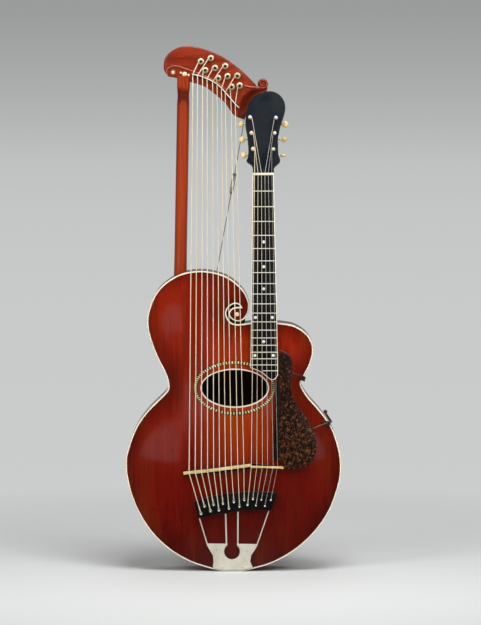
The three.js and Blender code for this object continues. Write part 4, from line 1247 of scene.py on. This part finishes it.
def harp_roll(x, z, contour):
    """The harp head's front, which rolls back where it comes near the headstock's outline."""
    near = min(math.dist((x, z), place) for place in contour)
    inside = x > line_height(sorted((pz, px) for px, pz in contour[:40]), z) and z < HARP_ROLL_TOP
    share = 1 if inside else min(max((HARP_ROLL_REACH - near) / HARP_ROLL_SPAN, 0), 1)
    share = share * share * (3 - 2 * share)
    return max(harp_front(x), HARP_FRONT + share * HARP_CARVING)


def make_harp_head():
    """The harp head with its ridge, which ends in the curl on the scroll."""
    line = traced(HARP_HEAD_TOP) + traced(HARP_HEAD_RIGHT)[1:] + traced(HARP_HEAD_UNDER)[1:-1]
    front, back = HARP_FRONT_LINE[0][1], HARP_BACK_LINE[0][1]
    shape = plate(line, front, back, 3, 4)
    grid_cut(shape, np.arange(*HARP_CARVED_XS, HARP_CELL), np.arange(*HARP_CARVED_ZS, HARP_CELL))
    # The headstock's left side and crest, which the harp head meets
    contour = smooth_line(HEADSTOCK[8:24], 4)
    for vert in shape.verts:
        x, z = vert.co.x * 1000, vert.co.z * 1000
        share = (vert.co.y * 1000 - front) / (back - front)
        vert.co.y = (harp_roll(x, z, contour) * (1 - share) + harp_back(x) * share) * 0.001
    piece = Piece("harp_head_wood", "head_wood", "bead_wood")
    piece.add(shape)
    x, z, radius = HARP_SCROLL
    piece.add(turned([
        (0, -9.8), (2.2, -9.6), (3, -8), (8, -6.4), (10, -5.4), (radius - 0.2, -3), (radius, 0),
        (radius, 8), (10.2, 11), (8.5, 12), (0, 12),
    ], 32), 0, at(x, 0, z))
    ridge = [(px, harp_front(px) - 1, pz) for px, pz in traced(HARP_RIDGE)]
    turns = np.linspace(0, 1, 40)
    curl = []
    for t in turns:
        angle, reach = math.radians(-128 + 470 * t), 10.6 - 6.4 * t
        depth = -9.6 + 1.6 * math.sin(math.pi * t)
        curl.append((x + reach * math.cos(angle), depth, z + reach * math.sin(angle)))
    radii = [min(1.2 + 0.3 * step, 2.6) for step in range(len(ridge))]
    # The ridge is in the lighter bead wood, a painted highlight
    piece.add(swept(ridge + curl[:4], radii + [2.8, 2.9, 3, 3], 12), 1)
    piece.add(swept(curl, [3.1 - 1.3 * t for t in turns], 12))
    piece.done(ROOT, ["harp_head"])


def make_moulding():
    """The bead under the harp head's edge, with a ring round the pearl at its end, both in wood lightened as
    a painted highlight.
    """
    line = traced(HARP_MOULDING)
    last = len(line) - 1
    radii = [min(0.7 + 0.3 * step, 1.7, 0.5 + 0.12 * (last - step)) for step in range(last + 1)]
    piece = Piece("harp_head_moulding", "bead_wood")
    piece.add(swept([(x, HARP_FRONT - 0.3, z) for x, z in line], radii, 12))
    x, z, pearl = HARP_PEARLS[0]
    piece.add(turned([
        (pearl + 0.2, 0.4), (pearl + 0.2, -0.5), (pearl + 1, -1.4), (pearl + 2, -1.3), (pearl + 2.8, 0.4),
        (pearl + 0.2, 0.4),
    ], 28), 0, at(x, HARP_FRONT, z))
    piece.done(ROOT)


def make_harp_pearls():
    piece = Piece("harp_head_pearls", "gold_pearl")
    for x, z, radius in HARP_PEARLS:
        dot = turned([(0, -0.7), (radius * 0.7, -0.5), (radius, 0), (radius, 1), (0, 1)])
        piece.add(dot, 0, at(x, HARP_FRONT, z))
    piece.done(ROOT)


def make_sub_bass_nut():
    """The curved nut, with a dark strip beside it as painted shade under the nut."""
    line = traced(SUB_BASS_NUT)
    piece = Piece("sub_bass_nut_bone", "white_bone", "dark_line")
    # The second strip, in dark_line, is painted shade beside the nut
    for shift, half, top, finish in ((0, 0.95, SUB_BASS_NUT_TOP, 0), (-2.2, 1.25, SUB_BASS_NUT_TOP + 1.6, 1)):
        piece.add(plate(strip_outline(line, shift, half), top, HARP_FRONT + 0.4, 0.5), finish)
    piece.done(ROOT, ["sub_bass_nut"])


def make_peg(index):
    """A sub-bass peg: its slotted post and flange in front, its paddle behind the harp head."""
    x, z = PEGS[index]
    back = line_height(PEG_BACK_LINE, x + PADDLE_REACH)
    front = at(x, 0, z)
    piece = Piece(f"peg_{index + 1}", "nickel", "dark_line", "gun_metal", "peg_nickel")
    # The post is in the dark copy of nickel, painted shade
    piece.add(turned([
        (0, -38.5), (2.6, -38.5), (3.4, -38.1), (3.6, -37.4), (3.2, -36.9), (2.6, -36.6), (2.5, -28.8),
        (3, -28.2), (3, back + 6), (0, back + 6),
    ], 28), 2, front)
    piece.add(turned([
        (4.1, -28.6), (4.5, -29.7), (5.4, -30.1), (6.4, -29.6), (7, -28.4), (7, -27.3), (4.1, -27.3),
        (4.1, -28.6),
    ], 28), 3, front)
    # Painted shade: a dark bar for the slot in the post's tip
    piece.add(slot_shade_bar(3.2, 0.75, -38.62, -37.6), 1, front @ Matrix.Rotation(0.5 + index * 0.9, 4, "Y"))
    # Painted shade: a dark ring where the flange meets the post
    groove_shade = turned([(2.4, -27.4), (2.4, -28.4), (4.6, -28.6), (4.6, -27.4), (2.4, -27.4)], 28)
    piece.add(groove_shade, 1, front)
    paddle = turned([
        (0, -1.5), (4.6, -1.7), (6.2, -2), (7.2, -1.4), (7.5, 0), (7.2, 1.4), (6.2, 2), (4.6, 1.7), (0, 1.5),
    ], 28)
    piece.add(paddle, 0, at(x, back + 9.5, z) @ Matrix.Rotation(math.pi / 2, 4, "Z"))
    neck = turned([(0, -1), (3, -1), (3, 2.5), (2.2, 4.6), (0, 5)], 16)
    piece.add(neck, 0, at(x, back + 1.5, z))
    piece.done(f"sub_bass_peg_{index + 1}", [f"sub_bass_peg_{index + 1}"])


def pillar_stations():
    """The pillar's (height, radius, squareness), with more stations at its capital."""
    heights, radii, squares = zip(*PILLAR_SECTIONS)
    places = sorted(set(np.round(np.concatenate([heights, np.linspace(*PILLAR_CAPITAL, 22)]), 2)))
    return zip(places, np.interp(places, heights, radii), np.interp(places, heights, squares))


def make_pillar():
    foot, head = Vector(PILLAR_FOOT), Vector(PILLAR_HEAD)
    sections = []
    for height, radius, square in pillar_stations():
        middle = foot.lerp(head, (height - foot.z) / (head.z - foot.z))
        section = []
        for angle in np.linspace(0, 2 * math.pi, 48, False):
            across, deep = math.cos(angle), math.sin(angle)
            reach = radius / (abs(across) ** square + abs(deep) ** square) ** (1 / square)
            section.append(mm(middle.x + across * reach, middle.y + deep * reach, middle.z))
        sections.append(section)
    piece = Piece("pillar_wood", "arm_wood")
    piece.add(loft(sections))
    piece.done(ROOT, ["pillar"])


def make_bridge():
    piece = Piece("bridge_foot", "black_wood")
    # The lower edge, which the first six corners give, is 3 mm higher than the CAD's
    foot = [(x, z + 3) for x, z in BRIDGE_BASE[:6]] + BRIDGE_BASE[6:]
    piece.add(plate(foot, SADDLE_SEAT, BRIDGE_BACK, 1.2, 3))
    piece.done(ROOT, ["bridge_base"])
    piece = Piece("saddle_bone", "bone")
    piece.add(plate(SADDLE, SADDLE_TOP, SADDLE_SEAT + 0.5, 0.9, 3))
    piece.done(ROOT, ["bridge_saddle"])


def make_pins():
    piece = Piece("pin_block_wood", "black_wood", "dark_line", "pearl")
    piece.add(plate(PIN_BLOCK, PIN_BLOCK_FRONT, PIN_BLOCK_BACK, 1.4, 3))
    for x, z in PINS:
        head = turned([
            (0, -5.4), (1.7, -5.3), (2.9, -4.7), (3.5, -3.8), (3.3, -3), (2, -2.4), (1.9, 1), (0, 1),
        ], 20)
        piece.add(head, 1, at(x, PIN_BLOCK_FRONT, z))
        dot = turned([(0, -5.8), (1.2, -5.7), (1.8, -5.3), (1.8, -4.9), (0, -4.9)], 16)
        piece.add(dot, 2, at(x, PIN_BLOCK_FRONT, z))
    piece.done(ROOT, ["pin_block"])


def tail_front(z):
    """The tailpiece's front, which leans forward above its bend, towards the pin block."""
    return TAIL_FRONT - TAIL_LEAN * (z - TAIL_BEND)


def make_tailpiece():
    x, z, radius = KEYHOLE
    first, last = (math.atan2(up, across) for across, up in KEYHOLE_NECK)
    angles = np.linspace(first, 2 * math.pi + last, 40)
    arc = [(x + radius * math.cos(angle), z + radius * math.sin(angle)) for angle in angles]
    left, right = TAILPIECE_LEFT[0][0], TAILPIECE_RIGHT[-1][0]
    tail = sorted((px, pz + 3.6) for px, pz in BODY_LINE if left <= px <= right and pz < 10)
    line = TAILPIECE_LEFT[1:] + [KEYHOLE_MOUTH[0]] + arc + [KEYHOLE_MOUTH[1]] + TAILPIECE_RIGHT[:-1]
    line += tail[::-1]
    shape = plate(line, TAIL_FRONT, TAIL_BACK, 0.6, 3)
    grid_cut(shape, [], [TAIL_BEND])
    for vert in shape.verts:
        vert.co.y -= TAIL_LEAN * max(vert.co.z - TAIL_BEND * 0.001, 0)
    piece = Piece("tailpiece_plate", "tail_nickel", "dark_line", "satin_nickel")
    piece.add(shape)
    for (x0, z0), (x1, z1), width in TAIL_WIRES:
        start = (x0, tail_front(z0) + 0.4, z0 - 1.5)
        piece.add(swept([start, (x1, TAIL_WIRE_END, z1)], width * 0.85, 12), 2)
    for px, pz in TAIL_SCREWS:
        place = at(px, tail_front(pz), pz)
        piece.add(turned([(0, -1), (1.6, -0.9), (2.7, -0.3), (2.9, 0.2), (0, 0.2)], 20), 0, place)
        # Painted shade: a dark bar for the screw's slot
        piece.add(slot_shade_bar(2.2, 0.3, -1.06, -0.6), 1, place @ Matrix.Rotation(0.4 + px, 4, "Y"))
    piece.done(ROOT, ["tailpiece"])


def make_pickguard():
    line = traced(GUARD_CURVE) + [(91.5, 246), (98.6, 423.8)]
    piece = Piece("pickguard_shell", "shell")
    piece.add(plate(line, GUARD_FRONT, GUARD_BACK, 1.1, 4))
    piece.done(ROOT, ["pickguard"])
    # A black strip along the guard's left side: painted shadow beneath the raised guard
    piece = Piece("pickguard_shadow_strip", "black_wood")
    edge = [(88, 247), (99, 247), (101, 422), (93, 422)]
    piece.add(plate(edge, GUARD_FRONT - 0.4, GUARD_BACK - 0.2, 0.4))
    piece.done(ROOT)


def make_brackets():
    """Two arms under the pickguard, their clamps on the body's edge, a thumb knob and two screws."""
    piece = Piece("pickguard_brackets", "dark_brass")
    for arm in GUARD_ARMS:
        piece.add(swept(traced(arm, 2.5), 2.3, 12))
    bar = [(215.2, -42, 327.5), (214.6, -42, 328.4), (203, -42, 346.1), (202.4, -42, 347)]
    piece.add(swept(bar, [1.8, 2.5, 2.5, 1.8], 16))
    knob = turned([(0, -49), (2.6, -48.6), (4.2, -47), (4.4, -43), (3.4, -40.4), (0, -40)], 20)
    piece.add(knob, 0, at(201.6, 0, 351))
    piece.add(plate([(195, 323), (211, 322), (214.5, 330), (197, 333)], -57, -53, 1))
    piece.add(plate([(147, 421), (156.5, 418), (158, 428), (150, 432)], -56, -52, 1))
    for x, z in GUARD_SCREWS:
        screw = turned([(0, -1.3), (2.2, -1.1), (3.2, -0.3), (3.2, 0.3), (0, 0.3)], 20)
        piece.add(screw, 0, at(x, GUARD_FRONT, z))
    piece.done(ROOT)


def make_stay():
    top, foot = Vector(STAY_TOP), Vector(STAY_FOOT)
    across = Vector((0, 1, 0)).cross(foot - top).normalized()

    def rod(start, end, radii, aside=0.0):
        shares = np.linspace(start, end, len(radii))
        return swept([tuple(top.lerp(foot, share) + across * aside) for share in shares], radii, 12)

    # The wires, and the turnbuckle's threads, eyes and side bars, by their shares of the way down
    piece = Piece("stay_rod", "wire")
    for start, end in ((0, 0.4), (0.44, 1)):
        piece.add(rod(start, end, [0.9, 0.9]))
    for start, end in ((0.36, 0.395), (0.445, 0.475)):
        piece.add(rod(start, end, [1.1] + [1.1, 1.5] * 10 + [1.1]))
    for start, end in ((0.345, 0.362), (0.488, 0.471)):
        piece.add(rod(start, end, [1.4, 2.4, 3.2, 4.1, 4.1, 3.4]))
    for aside in (-3.2, 3.2):
        piece.add(rod(0.352, 0.481, [0.9, 1, 1, 1, 0.9], aside))
    piece.done(ROOT, ["stay_wire"])


def saddle_point(index, radius):
    """Where a string crosses the saddle, which slants on the bass side and is level on the other."""
    x = SADDLE_CROSSINGS[index]
    (left, low), (bend, high) = SADDLE_SLANT
    z = SADDLE_LEVEL if x > bend else low + (x - left) / (bend - left) * (high - low)
    return (x, SADDLE_TOP - FIT_GAP - radius, z)


def tangent_angle(start, centre, radius, side):
    dx, dz = start[0] - centre[0], start[1] - centre[1]
    return math.atan2(dz, dx) + side * math.acos(radius / math.hypot(dx, dz))


def coil(start, centre, radius, side, turns):
    """Turns of string round a post, as (x, z, share), from where the straight run meets it."""
    first = tangent_angle(start, centre, radius, side)
    count = int(turns * COIL_STEPS)
    return [
        (centre[0] + radius * math.cos(first + side * share * turns * 2 * math.pi),
         centre[1] + radius * math.sin(first + side * share * turns * 2 * math.pi), share)
        for share in (step / count for step in range(count + 1))
    ]


def pin_loop(index, radius):
    """The string's loop round its pin, ending towards the saddle."""
    x, z = PINS[index]
    saddle = saddle_point(index, radius)
    aim = math.atan2(saddle[2] - z, saddle[0] - x)
    reach = PIN_RADIUS + radius + 0.15
    depth = PIN_BLOCK_FRONT - FIT_GAP - radius
    angles = np.linspace(aim + math.radians(50), aim + math.radians(310), 17)
    loop = [(x + reach * math.cos(a), depth, z + reach * math.sin(a)) for a in angles]
    neck = reach + 2.6
    meet = (x + neck * math.cos(aim), depth, z + neck * math.sin(aim))
    return [meet] + loop + [meet], meet


def between(start, end, share):
    return tuple(Vector(start).lerp(Vector(end), share))


def make_string(name, index, radius, nut, windings, finish):
    """A string from its pin's loop over the saddle and the nut to its windings."""
    loop, meet = pin_loop(index, radius)
    saddle = saddle_point(index, radius)
    piece = Piece(name, finish)
    piece.add(swept(loop, min(radius, 0.8) * 0.8, 8))
    knot = [between(meet, saddle, share) for share in (0, 0.03, 0.1, 0.13)]
    piece.add(swept(knot, [radius, radius * 1.35, radius * 1.35, radius], 8))
    run = [meet, between(meet, saddle, 0.94), saddle, between(saddle, nut, 0.003)]
    run += [between(saddle, nut, 0.997), nut] + windings
    piece.add(swept(run, radius, 10 if radius > 0.5 else 8))
    piece.done(ROOT, [name.replace("cord", "string")])


def make_strings():
    for index, radius in enumerate(SUB_BASS_RADII):
        x, z = SUB_BASS_NUT_CROSSINGS[index]
        turns = coil((x, z), PEGS[index], PEG_RADIUS + radius + FIT_GAP, -1, PEG_TURNS)
        windings = [(px, HARP_FRONT - 7 + 3.6 * share, pz) for px, pz, share in turns]
        nut = (x, SUB_BASS_NUT_TOP - FIT_GAP - radius, z)
        make_string(f"sub_bass_cord_{index + 1}", index, radius, nut, windings, "wound")
    for index, radius in enumerate(NECK_RADII):
        nut = (NECK_NUT_CROSSINGS[index], NUT_FRONT - FIT_GAP - radius, NUT_CREST)
        x, z = POSTS[index]
        start = (nut[0], up_head(nut[2]))
        side = 1 if index < 3 else -1
        turns = coil(start, (x, up_head(z, POST_TIP)), POST_RADIUS + radius + FIT_GAP, side, POST_TURNS)
        top = WINDING_HEIGHTS[index]
        windings = [
            tuple(HEAD @ mm(px, -(top - (1.2 + radius) * 1.3 * share), up) * 1000) for px, up, share in turns
        ]
        finish, slot = ("wound", "wound_string") if index < 3 else ("steel", "plain_string")
        make_string(f"neck_cord_{index + 1}", index + len(PEGS), radius, nut, windings, finish)


# Stage


def make_floor_finish():
    """A pale floor that takes shadows near the object and fades to the backdrop's grey, its grey darker
    behind as painted shade and glowing far off as painted backdrop shade.
    """
    finish = Finish("floor", Roughness=0.7)
    away = finish.add("VectorMath", {"operation": "LENGTH"}, {0: finish.place}).outputs["Value"]
    far = finish.sum("DIVIDE", away, finish.sum("ADD", away, 4.0))
    shade = finish.ramp(far, *[(place, colour(value - 1, value + 1, value)) for place, value in FLOOR_SHADES])
    depth = finish.axis("Y")
    # Painted shade: the near floor's grey is darker behind the object
    near = finish.mix(finish.span(depth, -0.5, 0.4, 0.0, 1.0), colour(226, 228, 227), colour(214, 216, 215))
    finish.set("Base Color", finish.mix(finish.span(away, 0.8, 2.0, 0.0, 1.0), near, shade))
    # Gloss mirrors a dark floor in front of the instrument, as in a dark room
    rays = finish.add("LightPath")
    lit = finish.sum("MAXIMUM", rays.outputs["Is Camera Ray"], finish.span(depth, -0.3, 0.15, 0.04, 1.0))
    # Far off the floor glows with its grey for the camera: painted backdrop shade
    glow = finish.add("Emission", inputs={"Color": shade, "Strength": lit})
    gloss = finish.sum("MULTIPLY", rays.outputs["Is Glossy Ray"], finish.span(depth, -0.1, 0.1, 1.0, 0.0))
    share = finish.sum("MULTIPLY", finish.seen(rays), finish.span(away, 0.35, 1.6, 0.0, 1.0))
    finish.blend(finish.sum("MAXIMUM", share, gloss), finish.shader, glow, "Material Output")
    return finish.material


def make_world():
    world = bpy.data.worlds.new("studio")
    world.use_nodes = True
    sky = Nodes(world.node_tree)
    light = sky.tree.nodes["Background"]
    light.inputs["Color"].default_value = (1, 1, 1, 1)
    light.inputs["Strength"].default_value = sizes().fill_strength
    axes = sky.add("SeparateXYZ", inputs={"Vector": sky.add("TexCoord").outputs["Generated"]})
    rays = sky.add("LightPath")
    # Painted backdrop shade: the wall's grey changes with height
    wall = sky.ramp(
        sky.span(axes.outputs["Z"], -0.022, 0.03, 0.0, 1.0),
        *[(place, colour(value - 1, value + 1, value)) for place, value in WALL_SHADES])
    # The room is dark in front of the instrument, where gloss mirrors it, and pale all round behind
    behind = sky.span(axes.outputs["Y"], -0.75, 0.0, 0.0, 1.0)
    behind = sky.sum("MAXIMUM", behind, rays.outputs["Is Camera Ray"])
    room = sky.add("Background", inputs={"Color": sky.mix(behind, (0.02, 0.02, 0.02, 1), wall)})
    sky.blend(sky.seen(rays), light, room, "World Output")
    bpy.context.scene.world = world


def make_lamp(name, place, aim, size, watts):
    lamp = bpy.data.lights.new(name, "AREA")
    lamp.shape = "RECTANGLE"
    lamp.size, lamp.size_y = size
    lamp.energy = watts
    thing = bpy.data.objects.new(name, lamp)
    bpy.context.scene.collection.objects.link(thing)
    thing.location = place
    thing.rotation_euler = (Vector(aim) - Vector(place)).to_track_quat("-Z", "Y").to_euler()
    thing.visible_camera = False


def make_camera():
    camera = bpy.data.cameras.new("camera")
    held = sizes()
    camera.lens = held.lens
    camera.sensor_width = 36
    camera.clip_end = CAMERA_RANGE
    thing = bpy.data.objects.new("camera", camera)
    bpy.context.scene.collection.objects.link(thing)
    thing.location = (held.camera_side, -held.camera_distance, held.camera_height)
    aim = Vector((held.aim_side, 0, held.aim_height))
    thing.rotation_euler = (aim - thing.location).to_track_quat("-Z", "Y").to_euler()
    bpy.context.scene.camera = thing


def make_stage():
    make_camera()
    make_world()
    shape = bmesh.new()
    bmesh.ops.create_circle(shape, cap_ends=True, segments=96, radius=FLOOR_RADIUS)
    mesh = bpy.data.meshes.new("floor")
    shape.to_mesh(mesh)
    shape.free()
    floor = bpy.data.objects.new("floor", mesh)
    bpy.context.scene.collection.objects.link(floor)
    mesh.materials.append(make_floor_finish())
    for name, place, aim, size, setting, share in LAMPS:
        make_lamp(name, place, aim, size, getattr(sizes(), setting) * share)
    bpy.context.scene.view_settings.view_transform = "Standard"


# Settings


def length(title, words, default, **more):
    return bpy.props.FloatProperty(
        name=title, description=words, default=default, subtype="DISTANCE", unit="LENGTH", **more)


def power(title, words, default):
    return bpy.props.FloatProperty(name=title, description=words, default=default, min=0, subtype="POWER")


def tint(title, words, default):
    return bpy.props.FloatVectorProperty(
        name=title, description=words, default=default[:3], subtype="COLOR", size=3, min=0, max=1)


def sizes():
    return bpy.context.scene.harp_guitar_sizes


class HarpGuitarSizes(bpy.types.PropertyGroup):
    """Sizes and lights that a user may change."""

    carving_cell: length("Carving cell", "Spacing of the carved plates' grid", 0.006, min=0.003)
    lens: bpy.props.FloatProperty(
        name="Lens", description="Focal length of the camera", default=210.4, subtype="DISTANCE_CAMERA")
    camera_distance: length("Camera distance", "How far the camera stands in front", 8.0)
    camera_height: length("Camera height", "Height of the camera above the floor", 1.1)
    camera_side: length("Camera side", "The camera's place across", 0.016)
    aim_height: length("Aim height", "Height that the camera looks at", 0.5655)
    aim_side: length("Aim side", "Place across that the camera looks at", 0.016)
    fill_strength: bpy.props.FloatProperty(
        name="Fill strength", description="Strength of the studio's even light", default=0.15, min=0)
    key_power: power("Key power", "Power of the lamp on the left", 35)
    side_power: power("Side power", "Power of the lamp on the right", 42)
    top_power: power("Top power", "Power of the lamp overhead", 55)
    strip_power: power("Strip power", "Power of the tall lamps that the varnish mirrors", 3.4)


class HarpGuitarColours(bpy.types.PropertyGroup):
    """Colours that a user may change."""

    top_edge: tint("Top edge", "Sunburst at the very edge", colour(66, 7, 2))
    top_middle: tint("Top middle", "Red of the sunburst", colour(105, 12, 2))
    top_centre: tint("Top centre", "Amber red in the middle of the top", colour(146, 47, 8))
    # Partly painted light from above
    top_upper_with_painted_light: tint("Top upper", "Brighter red of the upper bout", colour(138, 30, 8))
    rim_wood: tint("Rim wood", "Sides, neck and heel", colour(84, 16, 8))
    arm_wood: tint("Arm wood", "Pillar and inner blocks", colour(160, 48, 18))
    arm_streak: tint("Arm streak", "Pale grain of the pillar and the moulding", colour(196, 88, 38))
    top_flame: tint("Top flame", "Brown streaks near the edge", colour(112, 40, 12))
    # A lighter red for the moulding: painted highlight on its varnish
    head_wood: tint("Head wood", "Harp head, without its moulding", colour(134, 41, 21))
    head_streak: tint("Head streak", "Pale grain of the harp head", colour(170, 70, 38))
    bead_wood: tint("Bead wood", "Moulding of the harp head", colour(196, 112, 92))
    black_wood: tint("Black wood", "Fingerboard, bridge and pin block", colour(16, 14, 14))
    black_lacquer: tint("Black lacquer", "Headstock", colour(17, 24, 32))
    cream: tint("Cream", "Binding", colour(250, 243, 224))
    cream_aged: tint("Aged cream", "Yellowed binding", colour(240, 226, 198))
    white_bone: tint("White bone", "Nuts and the soundhole's edge", colour(238, 234, 222))
    straw: tint("Straw", "Pale blocks of the rosette", colour(246, 228, 164))
    bone: tint("Bone", "Saddle", colour(238, 208, 150))
    bone_aged: tint("Aged bone", "Yellowed bone", colour(206, 166, 102))
    button: tint("Button", "Tuner buttons", colour(244, 216, 148))
    button_aged: tint("Aged button", "Yellowed buttons", colour(222, 184, 112))
    nickel: tint("Nickel", "Plated parts", colour(238, 234, 220))
    nickel_dull: tint("Dull nickel", "Worn plating", colour(204, 194, 172))
    satin_nickel: tint("Satin nickel", "Tailpiece, string posts and frets", colour(246, 242, 226))
    satin_dull: tint("Dull satin nickel", "Worn satin plating", colour(230, 222, 200))
    wound_string: tint("Wound string", "Bronze winding", colour(250, 242, 216))
    wound_dull: tint("Dull winding", "Tarnished winding", colour(240, 220, 186))
    shell_amber: tint("Shell amber", "Pale clouds of the pickguard", colour(160, 104, 57))
    shell_brown: tint("Shell brown", "Middle tone of the pickguard", colour(78, 42, 20))
    shell_dark: tint("Shell dark", "Dark ground of the pickguard", colour(22, 11, 6))


# Operators


class HARPGUITAR_OT_stage(bpy.types.Operator):
    """Adds the floor, the lights and the camera"""

    bl_idname = "harp_guitar.stage"
    bl_label = "Stage"

    def execute(self, context):
        make_stage()
        return {"FINISHED"}


class HARPGUITAR_OT_body(bpy.types.Operator):
    """Carves the top and the back, and adds the rim, the binding and the rosette"""

    bl_idname = "harp_guitar.body"
    bl_label = "Body"

    def execute(self, context):
        depth = top_surface(make_soundboard())
        make_back()
        make_rim()
        make_scroll_shade()
        make_binding(depth)
        make_soundhole_edge(depth)
        make_rosette(depth)
        make_scroll_eye(depth)
        return {"FINISHED"}


class HARPGUITAR_OT_blocks(bpy.types.Operator):
    """Finishes the blocks inside the body"""

    bl_idname = "harp_guitar.blocks"
    bl_label = "Inner blocks"

    def execute(self, context):
        for node in ("neck_block", "tail_block"):
            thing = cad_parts[node]
            thing.data.materials.clear()
            thing.data.materials.append(finish_named("arm_wood"))
        return {"FINISHED"}


class HARPGUITAR_OT_fingerboard(bpy.types.Operator):
    """Makes the fingerboard with its frets, dots, binding and nut"""

    bl_idname = "harp_guitar.fingerboard"
    bl_label = "Fingerboard"

    def execute(self, context):
        make_fingerboard()
        make_board_binding()
        make_frets()
        make_fret_dots()
        make_nut()
        return {"FINISHED"}


class HARPGUITAR_OT_neck(bpy.types.Operator):
    """Makes the neck with its heel and its extension under the fingerboard"""

    bl_idname = "harp_guitar.neck"
    bl_label = "Neck"

    def execute(self, context):
        make_neck()
        return {"FINISHED"}


class HARPGUITAR_OT_headstock(bpy.types.Operator):
    """Makes the headstock with its bushings and tuner plates"""

    bl_idname = "harp_guitar.headstock"
    bl_label = "Headstock"

    def execute(self, context):
        make_headstock()
        make_bushings()
        make_tuner_plates()
        return {"FINISHED"}


class HARPGUITAR_OT_tuners(bpy.types.Operator):
    """Makes the six string posts with their gears, worms and buttons"""

    bl_idname = "harp_guitar.tuners"
    bl_label = "Tuners"

    def execute(self, context):
        for index in range(len(POSTS)):
            make_post(index)
            make_button(index)
        return {"FINISHED"}


class HARPGUITAR_OT_harp_head(bpy.types.Operator):
    """Carves the harp head with its scroll, moulding, pearls and nut"""

    bl_idname = "harp_guitar.harp_head"
    bl_label = "Harp head"

    def execute(self, context):
        make_harp_head()
        make_moulding()
        make_harp_pearls()
        make_sub_bass_nut()
        return {"FINISHED"}


class HARPGUITAR_OT_pegs(bpy.types.Operator):
    """Makes the ten sub-bass pegs"""

    bl_idname = "harp_guitar.pegs"
    bl_label = "Sub-bass pegs"

    def execute(self, context):
        for index in range(len(PEGS)):
            make_peg(index)
        return {"FINISHED"}


class HARPGUITAR_OT_pillar(bpy.types.Operator):
    """Makes the pillar with its squared capital"""

    bl_idname = "harp_guitar.pillar"
    bl_label = "Pillar"

    def execute(self, context):
        make_pillar()
        return {"FINISHED"}


class HARPGUITAR_OT_bridge(bpy.types.Operator):
    """Makes the bridge and its saddle"""

    bl_idname = "harp_guitar.bridge"
    bl_label = "Bridge"

    def execute(self, context):
        make_bridge()
        return {"FINISHED"}


class HARPGUITAR_OT_pins(bpy.types.Operator):
    """Makes the pin block and its sixteen pins"""

    bl_idname = "harp_guitar.pins"
    bl_label = "Pin block"

    def execute(self, context):
        make_pins()
        return {"FINISHED"}


class HARPGUITAR_OT_tailpiece(bpy.types.Operator):
    """Makes the tailpiece with its keyhole, wires and screws"""

    bl_idname = "harp_guitar.tailpiece"
    bl_label = "Tailpiece"

    def execute(self, context):
        make_tailpiece()
        return {"FINISHED"}


class HARPGUITAR_OT_pickguard(bpy.types.Operator):
    """Makes the raised pickguard and its brackets"""

    bl_idname = "harp_guitar.pickguard"
    bl_label = "Pickguard"

    def execute(self, context):
        make_pickguard()
        make_brackets()
        return {"FINISHED"}


class HARPGUITAR_OT_stay(bpy.types.Operator):
    """Makes the stay wire between the harp head and the body"""

    bl_idname = "harp_guitar.stay"
    bl_label = "Stay wire"

    def execute(self, context):
        make_stay()
        return {"FINISHED"}


class HARPGUITAR_OT_strings(bpy.types.Operator):
    """Strings the instrument: ten sub-basses and six on the neck"""

    bl_idname = "harp_guitar.strings"
    bl_label = "Strings"

    def execute(self, context):
        make_strings()
        return {"FINISHED"}


OPERATORS = (
    HARPGUITAR_OT_stage,
    HARPGUITAR_OT_body,
    HARPGUITAR_OT_blocks,
    HARPGUITAR_OT_fingerboard,
    HARPGUITAR_OT_neck,
    HARPGUITAR_OT_headstock,
    HARPGUITAR_OT_tuners,
    HARPGUITAR_OT_harp_head,
    HARPGUITAR_OT_pegs,
    HARPGUITAR_OT_pillar,
    HARPGUITAR_OT_bridge,
    HARPGUITAR_OT_pins,
    HARPGUITAR_OT_tailpiece,
    HARPGUITAR_OT_pickguard,
    HARPGUITAR_OT_stay,
    HARPGUITAR_OT_strings,
)


class HARPGUITAR_PT_panel(bpy.types.Panel):
    """Lists the instrument's pieces and settings"""

    bl_idname = "HARPGUITAR_PT_panel"
    bl_label = "Harp Guitar"
    bl_space_type = "VIEW_3D"
    bl_region_type = "UI"
    bl_category = "Harp Guitar"

    def draw(self, context):
        for operator in OPERATORS:
            self.layout.operator(operator.bl_idname)
        for group in (context.scene.harp_guitar_sizes, context.scene.harp_guitar_colours):
            for name in group.__annotations__:
                self.layout.prop(group, name)


CLASSES = (HarpGuitarSizes, HarpGuitarColours) + OPERATORS + (HARPGUITAR_PT_panel,)


def register():
    for part in CLASSES:
        bpy.utils.register_class(part)
    bpy.types.Scene.harp_guitar_sizes = bpy.props.PointerProperty(type=HarpGuitarSizes)
    bpy.types.Scene.harp_guitar_colours = bpy.props.PointerProperty(type=HarpGuitarColours)


def unregister():
    del bpy.types.Scene.harp_guitar_colours
    del bpy.types.Scene.harp_guitar_sizes
    for part in reversed(CLASSES):
        bpy.utils.unregister_class(part)


def main():
    register()
    bpy.ops.harp_guitar.stage()
    bpy.ops.harp_guitar.body()
    bpy.ops.harp_guitar.blocks()
    bpy.ops.harp_guitar.fingerboard()
    bpy.ops.harp_guitar.neck()
    bpy.ops.harp_guitar.headstock()
    bpy.ops.harp_guitar.tuners()
    bpy.ops.harp_guitar.harp_head()
    bpy.ops.harp_guitar.pegs()
    bpy.ops.harp_guitar.pillar()
    bpy.ops.harp_guitar.bridge()
    bpy.ops.harp_guitar.pins()
    bpy.ops.harp_guitar.tailpiece()
    bpy.ops.harp_guitar.pickguard()
    bpy.ops.harp_guitar.stay()
    bpy.ops.harp_guitar.strings()


if __name__ == "__main__":
    main()
